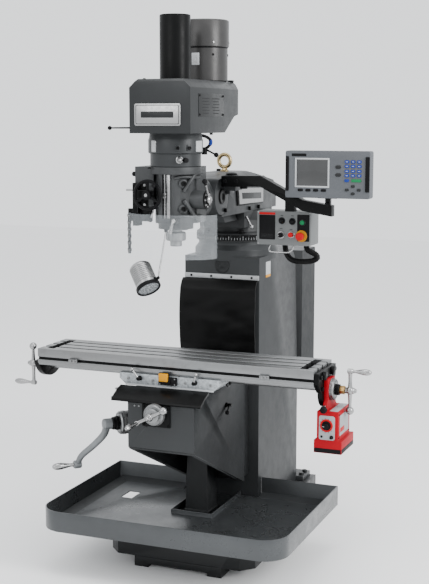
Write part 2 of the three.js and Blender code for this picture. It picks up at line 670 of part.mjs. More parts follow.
function headCover() {
  const [bottom, top] = [1905 + GAP, 2123];
  const front = [[-99, top], [99, top], [135, top - 34], [135, bottom], [-135, bottom], [-135, top - 34]];
  const side = [
    [-677, bottom], [-304, bottom], [-192, 1974], [-100, 1990], [-100, 2092], [-120, top], [-668, top], [-677, top - 10],
  ];
  const plan = [[-136, -678], [136, -678], [136, -148], [98, -99], [-98, -99], [-136, -148]];
  const hollowPlan = [[-129, -671], [129, -671], [129, -151], [95, -106], [-95, -106], [-129, -151]];
  const outer = common(common(plate(front, -677, -100, 'XZ'), plate(side, -136, 136, 'YZ')), plate(plan, bottom - 1, top + 1));
  const hollowFront = [[-94, top - 7], [94, top - 7], [128, top - 38], [128, bottom + 6], [-128, bottom + 6], [-128, top - 38]];
  const hollowSide = [
    [-670, bottom + 6], [-308, bottom + 6], [-196, 1981], [-107, 1997], [-107, 2088], [-124, top - 7], [-664, top - 7],
    [-670, top - 14],
  ];
  const hollowBlock = common(plate(hollowFront, -670, -107, 'XZ'), plate(hollowSide, -129, 129, 'YZ'));
  const hollow = common(hollowBlock, plate(hollowPlan, bottom, top));
  const spindleHole = disc(64, bottom - 1, bottom + 8, 'z', 24).translate(0, SPINDLE_Y, 0);
  const motorHole = disc(16, top - 9, top + 1, 'z', 20).translate(0, MOTOR.y, 0);
  const drawbarHole = disc(34, top - 9, top + 1, 'z', 24).translate(0, SPINDLE_Y, 0);
  return cut(outer, hollow, spindleHole, motorHole, drawbarHole);
}

function drawbarCover() {
  const from = 2123 + GAP;
  const wall = [[34, from], [62, from], [64, 2200], [64, 2380], [60, 2386], [0, 2386], [0, 2381], [34, 2381], [34, from]];
  return turned(wall, 'z', 28).translate(0, SPINDLE_Y, 0);
}

function motor() {
  const { radius, capRadius, bottom, capBottom, top } = MOTOR;
  const body = turned([[0, bottom], [radius, bottom], [radius, capBottom], [capRadius, capBottom], [capRadius, top - 8],
    [capRadius - 8, top], [0, top]], 'z', 28);
  return body.translate(0, MOTOR.y, 0);
}

const PULLEY = { radius: 56, bottom: 2004, top: 2090 };

function pulley(y, boreRadius) {
  const { radius, bottom, top } = PULLEY;
  const rim = [[boreRadius, bottom], [radius + 6, bottom], [radius + 6, bottom + 5], [radius, bottom + 6],
    [radius, top - 6], [radius + 6, top - 5], [radius + 6, top], [boreRadius, top], [boreRadius, bottom]];
  return turned(rim, 'z', 24).translate(0, y, 0);
}

function driveBelt() {
  const loop = (r) => {
    const shape = new THREE.Shape();
    shape.moveTo(r, SPINDLE_Y);
    shape.lineTo(r, MOTOR.y);
    shape.absarc(0, MOTOR.y, r, 0, Math.PI);
    shape.lineTo(-r, SPINDLE_Y);
    shape.absarc(0, SPINDLE_Y, r, Math.PI, 2 * Math.PI);
    return shape;
  };
  const { radius, bottom, top } = PULLEY;
  const outer = plate(loop(radius + 5), bottom + 8, top - 8);
  return cut(outer, plate(loop(radius + 0.6), bottom + 7, top - 7));
}

function motorPulley() {
  const shaft = disc(14, PULLEY.top - 1, MOTOR.bottom - 0.4, 'z', 20).translate(0, MOTOR.y, 0);
  const hub = disc(14, PULLEY.bottom, PULLEY.top, 'z', 20).translate(0, MOTOR.y, 0);
  return join(pulley(MOTOR.y, 10), shaft, hub);
}

function quill() {
  const { radius, bottom, top } = QUILL;
  return tube(26, radius, bottom, top, 'z', 28).translate(0, SPINDLE_Y, 0);
}

function spindle() {
  const profile = [[0, 1434], [25, 1434], [25, 1457], [41, 1458], [41, 1492], [25.6, 1496], [25.6, 2112], [0, 2112]];
  const taper = turned([[0, 1433], [16, 1433], [10, 1530], [0, 1530]], 'z', 24);
  return cut(turned(profile, 'z', 24), taper).translate(0, SPINDLE_Y, 0);
}

function quillLever() {
  const [hubY, hubZ] = [SPINDLE_Y, FEED_Z];
  const hub = disc(17, 138.4, 160, 'x', 20).translate(0, hubY, hubZ);
  const tip = [160, hubY - 60, hubZ + 66];
  const arm = bar([150, hubY, hubZ], tip, 6, 5);
  const along = new THREE.Vector3(6, -60, 66).normalize();
  const knob = turned([[0, 0], [8, 0], [11, 14], [8, 26], [0, 27]], 'y', 12);
  knob.applyQuaternion(new THREE.Quaternion().setFromUnitVectors(AXES.y, along)).translate(...tip);
  return join(hub, arm, knob);
}

function feedHandwheel() {
  const rim = new THREE.TorusGeometry(58, 7, 8, 28).rotateX(Math.PI / 2);
  const hub = disc(15, -16, 26, 'y', 20);
  const spokes = [0, 1, 2].map((k) => {
    const angle = Math.PI / 2 + (k * 2 * Math.PI) / 3;
    return bar([0, 0, 0], [58 * Math.cos(angle), 0, 58 * Math.sin(angle)], 6, 6, 10);
  });
  return join(rim, hub, ...spokes).translate(-74, -640, 1653);
}

// Black bracket that carries the fine-feed worm shaft and the guard's hinge bar.
function feedBracket() {
  const shaft = disc(13, -613.4, -588, 'y', 20).translate(-74, 0, 1653);
  const arm = box(-150, -60, -612, -587, 1636, 1670);
  const post = box(-156, -132, -612, -570, 1522, 1700);
  const foot = box(-156, -88, -586, -560, 1540, 1591);
  const arm2 = box(-190, -150, -586, -574, 1540, 1591);
  const hinge = disc(GUARD.barRadius, GUARD.bottom + 4, 1586, 'z', 12).translate(GUARD.hingeX, GUARD.hingeY, 0);
  return join(shaft, arm, post, foot, arm2, hinge);
}

// The clear chip guard wraps round the spindle nose and swings on its left edge.
function guardShield() {
  const points = (offset) => {
    const arc = Array.from({ length: 19 }, (_, k) => {
      const angle = Math.PI + (k * Math.PI) / 18;
      return [(198 - offset) * Math.cos(angle) + 20, -596 + (112 - offset) * Math.sin(angle)];
    });
    return arc;
  };
  const outer = points(0);
  const inner = points(4).reverse();
  return plate([...outer, ...inner], GUARD.bottom, GUARD.top);
}

const LAMP = { rear: [-110.2, -655, 1366], lens: [-41.3, -701, 1272], pivotAlong: 108, pivotOut: 60.4 };

// The lamp's own frame: Z runs from its rear to its lens, X towards the pivot.
function lampPlace() {
  const rear = new THREE.Vector3(...LAMP.rear);
  const along = new THREE.Vector3(...LAMP.lens).sub(rear).normalize();
  const side = new THREE.Vector3().crossVectors(along, AXES.y).normalize();
  const across = new THREE.Vector3().crossVectors(along, side);
  return new THREE.Matrix4().makeBasis(side, across, along).setPosition(rear);
}

function lampRod() {
  const pivot = new THREE.Vector3(LAMP.pivotOut, 0, LAMP.pivotAlong).applyMatrix4(lampPlace()).toArray();
  return join(bar([-15, -586, 1506.5], pivot, 3.5, 3.5, 8), ball(7, pivot, 10));
}

function lamp() {
  const profile = [[0, 4], [34, 4], [46, 14], [46, 110], [52, 111], [52, 126], [44, 126.5], [44, 120], [0, 120]];
  const pivot = box(45, 53, -9, 9, 98, 118);
  return join(turned(profile, 'z', 24), pivot).applyMatrix4(lampPlace());
}

// ---------- assembly ----------
const X_AXIS = AXES.x;
const shaftDirection = new THREE.Vector3(-Math.cos(CRANK_SHAFT.turn), -Math.sin(CRANK_SHAFT.turn), 0);

function crossCrank() {
  const y = -760;
  const hub = [CROSS.x, y, CROSS.z];
  const turn = Math.atan2(34, 66);
  const along = (r, out) => [CROSS.x + r * Math.cos(turn), y + out, CROSS.z + r * Math.sin(turn)];
  return ballCrank(hub, along(72, 0), along(-60, 0), [0, 1, 0]);
}

function crossGrip() {
  const turn = Math.atan2(34, 66);
  const start = [CROSS.x - 60 * Math.cos(turn), -760, CROSS.z - 60 * Math.sin(turn)];
  return crankGrip(start, new THREE.Vector3(0, -1, 0), 95);
}

function leftCrank() {
  const hub = [LEFT_HUB, screwY, screwZ];
  return ballCrank(hub, [LEFT_HUB, screwY, screwZ + 78], [LEFT_HUB, screwY, screwZ - 90], [1, 0, 0]);
}

function rightCrank() {
  const hub = [RIGHT_HUB, screwY, screwZ];
  return ballCrank(hub, [RIGHT_HUB, screwY, screwZ - 84], [RIGHT_HUB, screwY, screwZ + 81], [1, 0, 0]);
}

const stand = groupAt([0, 0, 0],
  piece('base', base(), FINISH.darkPaint),
  piece('chip_tray', chipTray(), FINISH.greyPaint),
  piece('column', column(), FINISH.greyPaint),
  piece('screw_housing', screwHousing(), FINISH.darkPaint),
  piece('electrical_cabinet', electricalCabinet(), FINISH.castGrey),
  piece('cabinet_door', cabinetDoor(), FINISH.castGrey),
  piece('rear_way_cover', rearWayCover(), FINISH.rubber),
);

const kneeAssembly = groupAt([0, 0, 0],
  piece('knee', knee(), FINISH.greyPaint),
  piece('cross_feed_plate', crossFeedPlate(), FINISH.black),
  piece('knee_lock_lever', kneeLock(), FINISH.black),
  piece('elevating_screw', elevatingScrew(), FINISH.machined),
  piece('elevating_crank', elevatingCrank(), FINISH.castGrey),
  piece('elevating_grip', elevatingGrip(), FINISH.chrome),
  piece('cross_screw', crossScrew(), FINISH.machined),
  piece('cross_crank', crossCrank(), FINISH.chrome),
  piece('cross_grip', crossGrip(), FINISH.chrome),
);

const saddleAssembly = groupAt([0, 0, 0],
  piece('saddle', saddle(), FINISH.machined),
  piece('front_way_cover', frontWayCover(), FINISH.rubber),
  piece('limit_switch', limitSwitch(), FINISH.black),
  piece('table_lock_left', tableLock(-135, -27), FINISH.chrome),
  piece('table_lock_right', tableLock(120, 13), FINISH.chrome),
);

const tableAssembly = groupAt([0, 0, 0],
  piece('table', table(), FINISH.machined),
  piece('end_bracket_left', endBracket(-1, leftBracketOutline(), 26), FINISH.black),
  piece('end_bracket_right', endBracket(1, rightBracketOutline(), RIGHT_BRACKET), FINISH.black),
  piece('power_feed', powerFeed(), FINISH.red),
  piece('feed_lever', feedLever(), FINISH.black),
  piece('feed_knob', feedKnob(), FINISH.black),
  piece('lead_screw', leadScrew(), FINISH.machined),
  piece('left_crank', leftCrank(), FINISH.chrome),
  piece('left_grip', crankGrip([LEFT_HUB, screwY, screwZ - 90], X_AXIS.clone().negate(), 88), FINISH.chrome),
  piece('right_crank', rightCrank(), FINISH.chrome),
  piece('right_grip', crankGrip([RIGHT_HUB, screwY, screwZ + 81], X_AXIS, 78), FINISH.chrome),
);

const ramAssembly = groupAt([0, 0, 0],
  piece('turret', turret(), FINISH.darkPaint),
  piece('ram', ram(), FINISH.greyPaint),
  piece('eye_bolt', eyeBolt(), FINISH.brass),
  piece('ram_adapter', ramAdapter(), FINISH.greyPaint),
);

const pendant = groupAt([0, 0, 0],
  piece('arm', pendantArm(), FINISH.black),
  piece('display', readout(), FINISH.panelGrey),
  piece('control_box', controlBox(), FINISH.panelGrey),
  piece('conduit', conduit(), FINISH.black),
  piece('e_stop', pushButton(BUTTONS.e_stop), FINISH.red),
  piece('start_button', pushButton(BUTTONS.start_button), FINISH.green),
  piece('stop_button', pushButton(BUTTONS.stop_button), FINISH.red),
  piece('selector_knob', pushButton(BUTTONS.selector_knob), FINISH.black),
);

const head = groupAt([0, 0, 0],
  piece('quill_housing', quillHousing(), FINISH.darkPaint),
  piece('neck', neck(), FINISH.greyPaint),
  piece('head_cover', headCover(), FINISH.greyPaint),
  piece('drawbar_cover', drawbarCover(), FINISH.black),
  piece('motor', motor(), FINISH.greyPaint),
  piece('motor_pulley', motorPulley(), FINISH.machined),
  piece('spindle_pulley', pulley(SPINDLE_Y, 26), FINISH.machined),
  piece('drive_belt', driveBelt(), FINISH.rubber),
  piece('quill', quill(), FINISH.machined),
  piece('spindle', spindle(), FINISH.machined),
  piece('quill_lever', quillLever(), FINISH.chrome),
  piece('feed_handwheel', feedHandwheel(), FINISH.black),
  piece('guard_shield', guardShield(), FINISH.clear),
  piece('lamp_rod', lampRod(), FINISH.silver),
  piece('lamp', lamp(), FINISH.silver),
);

const machine = new THREE.Group();
machine.add(stand, kneeAssembly, saddleAssembly, tableAssembly, ramAssembly, pendant, head);

export default machine;
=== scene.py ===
import math

import bmesh
import bpy
from mathutils import Matrix, Vector, noise


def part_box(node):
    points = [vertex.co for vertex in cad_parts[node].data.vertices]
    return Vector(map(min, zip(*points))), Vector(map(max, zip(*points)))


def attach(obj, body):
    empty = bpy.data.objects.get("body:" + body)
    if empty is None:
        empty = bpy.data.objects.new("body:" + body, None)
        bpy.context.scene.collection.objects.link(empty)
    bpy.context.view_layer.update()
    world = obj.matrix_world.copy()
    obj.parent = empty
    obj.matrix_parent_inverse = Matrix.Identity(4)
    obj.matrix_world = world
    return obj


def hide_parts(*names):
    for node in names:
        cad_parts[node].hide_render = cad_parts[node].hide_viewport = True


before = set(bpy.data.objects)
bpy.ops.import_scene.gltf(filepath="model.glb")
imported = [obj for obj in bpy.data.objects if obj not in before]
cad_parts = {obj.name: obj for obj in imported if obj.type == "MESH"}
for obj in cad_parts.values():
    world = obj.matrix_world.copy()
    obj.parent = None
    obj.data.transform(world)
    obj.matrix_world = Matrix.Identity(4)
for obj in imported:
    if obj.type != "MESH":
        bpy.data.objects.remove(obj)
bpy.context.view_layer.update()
MM = 0.001  # shapes are drawn in millimetres and finished in metres
ROUND_CORNER = math.radians(32)  # edges flatter than this are shaded smooth


# ---------- camera, floor and light ----------
def set_camera():
    data = bpy.data.cameras.new("camera")
    data.lens = 73.6
    data.sensor_width = 36
    data.clip_end = 60
    data.shift_y = 0.0036
    camera = bpy.data.objects.new("camera", data)
    camera.location = (2.0336, -5.0910, 1.9667)
    camera.rotation_euler = (math.radians(81.612), 0, math.radians(22.127))
    bpy.context.scene.collection.objects.link(camera)
    bpy.context.scene.camera = camera


def add_lamp(name, place, aim, size, power):
    data = bpy.data.lights.new(name, "AREA")
    data.shape = "RECTANGLE"
    data.size, data.size_y = size
    data.energy = power
    lamp = bpy.data.objects.new(name, data)
    lamp.location = place
    lamp.rotation_euler = (Vector(aim) - Vector(place)).to_track_quat("-Z", "Y").to_euler()
    bpy.context.scene.collection.objects.link(lamp)


def set_studio():
    floor = bmesh.new()
    bmesh.ops.create_grid(floor, x_segments=2, y_segments=2, size=14)
    mesh = bpy.data.meshes.new("floor")
    floor.to_mesh(mesh)
    floor.free()
    ground = bpy.data.objects.new("floor", mesh)
    bpy.context.scene.collection.objects.link(ground)
    material = bpy.data.materials.new("pale floor")
    material.use_nodes = True
    shader = material.node_tree.nodes["Principled BSDF"]
    shader.inputs["Base Color"].default_value = (0.93, 0.93, 0.93, 1)
    shader.inputs["Roughness"].default_value = 0.9
    shader.inputs["Specular IOR Level"].default_value = 0.1
    mesh.materials.append(material)
    world = bpy.data.worlds.new("studio")
    world.use_nodes = True
    world.node_tree.nodes["Background"].inputs["Color"].default_value = (0.96, 0.98, 1, 1)
    world.node_tree.nodes["Background"].inputs["Strength"].default_value = 1.6
    bpy.context.scene.world = world
    add_lamp("right key", (4.2, -1.2, 3.2), (0.1, 0, 1.1), (1.6, 2.6), 200)
    add_lamp("front fill", (-1.2, -4.6, 3.6), (0, -0.2, 1.0), (2.4, 1.6), 45)
    add_lamp("top", (0.2, -0.6, 4.8), (0, 0, 1), (2.6, 2.2), 80)


# ---------- materials ----------
class Wire:
    """A value in a material, which takes part in sums."""

    def __init__(self, finish, socket):
        self.finish = finish
        self.socket = socket

    def _sum(self, operation, first, second):
        return self.finish.node("Math", {"operation": operation}, {0: first, 1: second})

    def __add__(self, other):
        return self._sum("ADD", self, other)

    __radd__ = __add__

    def __sub__(self, other):
        return self._sum("SUBTRACT", self, other)

    def __rsub__(self, other):
        return self._sum("SUBTRACT", other, self)

    def __mul__(self, other):
        return self._sum("MULTIPLY", self, other)

    __rmul__ = __mul__

    def __gt__(self, other):
        return self._sum("GREATER_THAN", self, other)


class Finish:
    """A material made of nodes around one Principled shader."""

    def __init__(self, name, **constants):
        self.material = bpy.data.materials.new(name)
        self.material.use_nodes = True
        self.tree = self.material.node_tree
        self.shader = self.tree.nodes["Principled BSDF"]
        self.place = self.node("TexCoord", output="Object")
        self.set(**constants)

    def node(self, kind, settings=None, sockets=None, output=0):
        made = self.tree.nodes.new("ShaderNode" + kind)
        for key, value in (settings or {}).items():
            if key == "stops":
                ramp = made.color_ramp
                while len(ramp.elements) < len(value):
                    ramp.elements.new(0.5)
                for element, (at, shade) in zip(ramp.elements, value):
                    element.position, element.color = at, shade
            else:
                setattr(made, key, value)
        for key, value in (sockets or {}).items():
            self.join(made.inputs[key], value)
        return Wire(self, made.outputs[output])

    def join(self, socket, value):
        if isinstance(value, Wire):
            self.tree.links.new(value.socket, socket)
        else:
            socket.default_value = value

    def set(self, **sockets):
        for key, value in sockets.items():
            self.join(self.shader.inputs[key.replace("_", " ")], value)
        return self

    def noise(self, scale, detail=3, stretch=(1, 1, 1), roughness=0.55):
        place = self.node("Mapping", {}, {"Vector": self.place, "Scale": stretch})
        return self.node("TexNoise", {}, {"Vector": place, "Scale": scale, "Detail": detail,
            "Roughness": roughness})

    def ramp(self, value, low, high):
        return self.node("MapRange", {}, {"Value": value, "From Min": low, "From Max": high})

    def mix(self, factor, first, second):
        return self.node("Mix", {"data_type": "RGBA"}, {0: factor, 6: first, 7: second}, 2)

    def bump(self, height, depth, strength=0.6):
        sockets = {"Height": height, "Distance": depth, "Strength": strength}
        self.set(Normal=self.node("Bump", {}, sockets))
        return self

    def axis(self, letter):
        return self.node("SeparateXYZ", {}, {0: self.place}, letter)


def grey(value, tint=(1, 1, 1)):
    return tuple(value * t for t in tint) + (1,)


COOL = (0.94, 1.0, 1.04)


def painted(name, tone, roughness=0.4, metallic=0.3, coat=0.06, tint=COOL, wear=0.5, gloss=0.2):
    """Hammered machine enamel: slow tone drift, fine peel, dust and rubbed spots."""
    paint = Finish(name, Metallic=metallic, Coat_Roughness=0.25, Specular_IOR_Level=gloss)
    drift = paint.ramp(paint.noise(2.6, 4), 0.3, 0.7)
    smudge = paint.ramp(paint.noise(17, 6, roughness=0.65), 0.42, 0.75)
    peel = paint.noise(420, 2)
    flecks = paint.ramp(paint.noise(1500, 1), 0.62, 0.75)
    base = paint.mix(drift, grey(tone * 0.84, tint), grey(tone * 1.12, tint))
    base = paint.mix(smudge * 0.35 * wear, base, grey(tone * 1.55, tint))
    base = paint.mix(flecks * 0.22, base, grey(min(1, tone * 1.9), tint))
    paint.set(Base_Color=base, Roughness=roughness + smudge * 0.16 - drift * 0.05, Coat_Weight=coat)
    return paint.bump(peel + smudge * 0.3, 0.0004, 0.35)


def ground_steel(name, tone=0.42, stretch=(1.2, 90, 90), roughness=0.3, stain=0.4, metallic=0.9):
    """Steel with the fine lines that a grinder or planer leaves along one axis."""
    steel = Finish(name, Metallic=metallic)
    lines = steel.noise(7, 5, stretch, 0.7)
    broad = steel.ramp(steel.noise(1.6, 3, (1, 8, 8)), 0.3, 0.7)
    spots = steel.ramp(steel.noise(23, 6, roughness=0.7), 0.5, 0.8)
    base = steel.mix(lines, grey(tone * 0.66), grey(tone * 1.38))
    base = steel.mix(broad * 0.45, base, grey(tone * 1.45, COOL))
    base = steel.mix(spots * stain, base, grey(tone * 0.6, (1.03, 1, 0.95)))
    steel.set(Base_Color=base, Roughness=roughness + lines * 0.2 + spots * 0.12)
    return steel.bump(lines, 0.0002, 0.3)


def scraped_steel():
    """Slide faces frosted by hand scraping in small crossed patches."""
    steel = Finish("scraped steel", Metallic=0.55)
    cells = steel.node("TexVoronoi", {"distance": "CHEBYCHEV"}, {"Vector": steel.place, "Scale": 110},
        "Color")
    tone = steel.ramp(cells, 0.1, 0.9)
    fine = steel.noise(300, 4, (1, 1, 3))
    base = steel.mix(tone, grey(0.24, COOL), grey(0.5, COOL))
    base = steel.mix(fine * 0.5, base, grey(0.3, COOL))
    steel.set(Base_Color=base, Roughness=0.3 + tone * 0.22)
    return steel.bump(tone + fine, 0.0002, 0.35)


def polished(name, tone=0.72, roughness=0.13, tint=(1, 1, 1), cloud=0.35):
    """Plated metal with faint handling marks."""
    metal = Finish(name, Metallic=1)
    film = metal.ramp(metal.noise(60, 5, roughness=0.65), 0.4, 0.8)
    hair = metal.noise(700, 3, (1, 1, 6))
    base = metal.mix(film * cloud, grey(tone, tint), grey(tone * 0.62, tint))
    metal.set(Base_Color=base, Roughness=roughness + film * 0.16 + hair * 0.05)
    return metal.bump(film + hair * 0.4, 0.0001, 0.3)


def moulded(name, colour, roughness=0.38, grain=900, dust=0.25, coat=0.0, gloss=0.15):
    """Moulded plastic or powder-coated sheet with a fine grain and a little dust."""
    plastic = Finish(name, Specular_IOR_Level=gloss, Coat_Roughness=0.15)
    pits = plastic.noise(grain, 3)
    cloud = plastic.ramp(plastic.noise(9, 5), 0.35, 0.75)
    light = tuple(min(1, c * 1.3 + 0.004) for c in colour)
    base = plastic.mix(cloud * dust, (*colour, 1), (*light, 1))
    base = plastic.mix(pits * 0.2, base, tuple(c * 0.7 for c in colour) + (1,))
    plastic.set(Base_Color=base, Roughness=roughness + cloud * 0.14 + pits * 0.06, Coat_Weight=coat)
    return plastic.bump(pits, 0.00025, 0.3)


def rubbered(name, tone=0.0025, roughness=0.3):
    """Smooth rubber sheet with a soft sheen and a trace of chalk."""
    rubber = Finish(name, Specular_IOR_Level=0.12)
    chalk = rubber.ramp(rubber.noise(8, 6, (1, 1, 0.4), 0.7), 0.48, 0.8)
    grain = rubber.noise(500, 4)
    base = rubber.mix(chalk * 0.4, grey(tone), grey(tone * 3.2, COOL))
    rubber.set(Base_Color=base, Roughness=roughness + chalk * 0.2 + grain * 0.08)
    return rubber.bump(grain + chalk, 0.0004, 0.35)


def sand_cast(name, tone=0.3, metallic=0.55):
    """Grey cast iron or aluminium left as it came out of the sand."""
    cast = Finish(name, Metallic=metallic)
    sand = cast.noise(260, 5, roughness=0.7)
    cloud = cast.ramp(cast.noise(12, 4), 0.3, 0.75)
    base = cast.mix(cloud, grey(tone * 0.75, COOL), grey(tone * 1.2, COOL))
    base = cast.mix(sand * 0.5, base, grey(tone * 0.6))
    cast.set(Base_Color=base, Roughness=0.42 + sand * 0.2)
    return cast.bump(sand, 0.0006, 0.5)


def knurled(name, count, tone=0.45):
    """Steel knurled in small diamonds."""
    metal = Finish(name, Metallic=0.95)
    grid = metal.node("TexVoronoi", {"feature": "F1", "distance": "MANHATTAN"},
        {"Vector": metal.place, "Scale": count})
    ridge = metal.ramp(grid, 0.0, 0.6)
    base = metal.mix(ridge, grey(tone * 1.3), grey(tone * 0.35))
    metal.set(Base_Color=base, Roughness=0.3 + ridge * 0.2)
    return metal.bump(1 - ridge, 0.0008, 0.8)


def clear_acrylic():
    clear = Finish("clear acrylic", IOR=1.45, Specular_IOR_Level=0.7)
    haze = clear.ramp(clear.noise(5, 5, (1, 1, 0.5)), 0.35, 0.8)
    scratches = clear.ramp(clear.noise(90, 3, (1, 1, 0.06)), 0.62, 0.72)
    clear.set(Base_Color=clear.mix(haze, grey(0.82, COOL), grey(0.95, COOL)),
        Roughness=0.06 + scratches * 0.2)
    clear.set(Alpha=0.05 + haze * 0.05 + scratches * 0.08)
    return clear.bump(haze, 0.002, 0.15)


def lit_screen():
    screen = Finish("readout screen", Coat_Weight=1, Coat_Roughness=0.04, Specular_IOR_Level=0.4)
    haze = screen.ramp(screen.noise(6, 4), 0.35, 0.7)
    screen.set(Base_Color=screen.mix(haze, grey(0.006), grey(0.02, COOL)), Roughness=0.12 + haze * 0.1)
    return screen.bump(haze, 0.0002, 0.1)


def lamp_glass():
    glass = Finish("lamp glass", Specular_IOR_Level=0.8)
    rings = glass.node("TexVoronoi", {}, {"Vector": glass.place, "Scale": 160})
    face = glass.ramp(rings, 0.0, 0.7)
    glass.set(Base_Color=glass.mix(face, grey(0.16, COOL), grey(0.42, COOL)), Roughness=0.1 + face * 0.2,
        Metallic=0.4)
    return glass.bump(face, 0.0008, 0.5)


STEEL = ground_steel("ground table steel", 0.2, roughness=0.26)
# near-black steel for the table's T-slots and end troughs: painted shade in these recesses
SLOT_SHADE_STEEL = ground_steel("slot steel with painted shade", 0.035, roughness=0.45)
STEEL_ROUND = ground_steel("turned steel", 0.2, (40, 40, 40), 0.24, 0.2)
STRIP_STEEL = ground_steel("planed strip", 0.34, (1, 60, 60), 0.34, 0.2, 0.7)
SCRAPED = scraped_steel()
PAINT = painted("grey enamel", 0.03)
PAINT_LIGHT = painted("light grey enamel", 0.032, 0.4)
PAINT_DARK = painted("dark grey enamel", 0.016, 0.4)
PAINT_HEAD = painted("head enamel", 0.024, 0.38)
PAINT_TRAY = painted("tray enamel", 0.07, 0.3, 0.6, 0.2)
PAINT_MOTOR = painted("motor enamel", 0.045, 0.34, 0.45, 0.06, (1, 0.98, 0.97))
BLACK_PAINT = painted("black enamel", 0.0022, 0.36, 0.0, 0.0, gloss=0.1)
CHROME = polished("chrome plate", 0.34, 0.2)
GILT = polished("gilt plate", 0.42, 0.24, (1, 0.78, 0.42), 0.5)
BRASS = polished("brass nut", 0.4, 0.25, (1, 0.62, 0.24), 0.4)
CAST = sand_cast("cast crank iron", 0.22)
CAST_HEAD = sand_cast("painted casting", 0.045, 0.4)
KNURL = knurled("knurled rim", 380)
RUBBER = rubbered("black rubber")
BLACK_PLASTIC = moulded("black plastic", (0.003, 0.003, 0.0035), 0.36, gloss=0.1)
GREY_PLASTIC = moulded("grey sheet metal", (0.085, 0.09, 0.098), 0.42, 700)
BOX_GREY = moulded("control box enamel", (0.13, 0.135, 0.135), 0.42, 700)
RED_PLASTIC = moulded("red housing", (0.3, 0.001, 0.008), 0.36, 600, 0.1, gloss=0.08)
RED_KEY = moulded("red key", (0.4, 0.004, 0.008), 0.38, 900, 0.1, gloss=0.08)
GREEN_KEY = moulded("green key", (0.005, 0.15, 0.05), 0.36, 900)
BLUE_KEY = moulded("blue key", (0.01, 0.03, 0.2), 0.36, 900)
YELLOW = moulded("yellow ring", (0.4, 0.17, 0.003), 0.4, 900)
ORANGE = moulded("orange cap", (0.55, 0.24, 0.003), 0.36, 900)
WHITE_PLASTIC = moulded("pale label", (0.4, 0.41, 0.42), 0.4, 900, 0.1)
PANEL_GREY = moulded("panel film", (0.28, 0.29, 0.3), 0.4, 900)
CLEAR = clear_acrylic()
SCREEN = lit_screen()
LAMP_GLASS = lamp_glass()
SILVER = polished("satin silver", 0.36, 0.24)


# ---------- shapes, in millimetres ----------
def placed(bm, matrix):
    bm.transform(matrix)
    return bm


def along(start, direction):
    """A place at start whose Z runs along direction."""
    turn = Vector(direction).to_track_quat("Z", "X" if abs(Vector(direction).normalized().x) < 0.9 else "Y")
    return Matrix.Translation(Vector(start)) @ turn.to_matrix().to_4x4()


def rounded(bm, radius, segments=2, angle=ROUND_CORNER):
    bmesh.ops.recalc_face_normals(bm, faces=bm.faces)
    if radius > 0:
        edges = [e for e in bm.edges if len(e.link_faces) == 2 and e.calc_face_angle() > angle]
        bmesh.ops.bevel(
            bm, geom=edges, offset=radius, segments=segments, profile=0.5,
            affect="EDGES", clamp_overlap=True, material=-1,
        )
    return bm


def block(low, high, radius=1.5, segments=2):
    bm = bmesh.new()
    bmesh.ops.create_cube(bm, size=1)
    bmesh.ops.scale(bm, vec=[b - a for a, b in zip(low, high)], verts=bm.verts)
    bmesh.ops.translate(bm, vec=[(a + b) / 2 for a, b in zip(low, high)], verts=bm.verts)
    return rounded(bm, radius, segments)


def slab(outline, low, high, radius=1, segments=2, plane="XY"):
    """An outline extruded from low to high along the axis that its plane leaves out."""
    bm = bmesh.new()
    face = bm.faces.new([bm.verts.new((a, b, 0)) for a, b in outline])
    grown = bmesh.ops.extrude_face_region(bm, geom=[face])["geom"]
    bmesh.ops.translate(bm, vec=(0, 0, 1), verts=[g for g in grown if isinstance(g, bmesh.types.BMVert)])
    bm.transform(Matrix.Translation((0, 0, low)) @ Matrix.Diagonal((1, 1, high - low, 1)))
    turns = {
        "XY": Matrix.Identity(4),
        "XZ": Matrix(((1, 0, 0, 0), (0, 0, 1, 0), (0, 1, 0, 0), (0, 0, 0, 1))),
        "YZ": Matrix(((0, 0, 1, 0), (1, 0, 0, 0), (0, 1, 0, 0), (0, 0, 0, 1))),
    }
    bm.transform(turns[plane])
    return rounded(bm, radius, segments)


def corners(x0, x1, y0, y1, r, steps=5):
    """A rectangle's outline with round corners."""
    points = []
    for cx, cy, start in ((x1 - r, y1 - r, 0), (x0 + r, y1 - r, 1), (x0 + r, y0 + r, 2), (x1 - r, y0 + r, 3)):
        for k in range(steps + 1):
            angle = (start + k / steps) * math.pi / 2
            points.append((cx + r * math.cos(angle), cy + r * math.sin(angle)))
    return points


def turned(profile, steps=40):
    """A profile of (radius, height) points spun about Z."""
    bm = bmesh.new()
    loop = profile[0] == profile[-1]
    verts = [bm.verts.new((r, 0, h)) for r, h in (profile[:-1] if loop else profile)]
    edges = [bm.edges.new(pair) for pair in zip(verts, verts[1:])]
    if loop:
        edges.append(bm.edges.new((verts[-1], verts[0])))
    bmesh.ops.spin(
        bm, geom=verts + edges, cent=(0, 0, 0), axis=(0, 0, 1), dvec=(0, 0, 0),
        angle=math.tau, steps=steps, use_merge=True,
    )
    bmesh.ops.remove_doubles(bm, verts=bm.verts, dist=0.001)
    bmesh.ops.recalc_face_normals(bm, faces=bm.faces)
    return bm


def disc(radius, low, high, edge=1, steps=36):
    return turned([(0, low), (radius - edge, low), (radius, low + edge), (radius, high - edge),
        (radius - edge, high), (0, high)], steps)


def orb(radius, steps=20):
    bm = bmesh.new()
    bmesh.ops.create_uvsphere(bm, u_segments=steps, v_segments=steps // 2, radius=radius)
    return bm


def smooth_path(points, steps=8):
    """Points on a Catmull-Rom curve through the given ones."""
    ends = [2 * Vector(points[0]) - Vector(points[1]), *map(Vector, points),
        2 * Vector(points[-1]) - Vector(points[-2])]
    out = []
    for a, b, c, d in zip(ends, ends[1:], ends[2:], ends[3:]):
        for k in range(steps):
            t = k / steps
            out.append(0.5 * ((2 * b) + (c - a) * t + (2 * a - 5 * b + 4 * c - d) * t * t
                              + (3 * b - a - 3 * c + d) * t ** 3))
    return [*out, Vector(points[-1])]


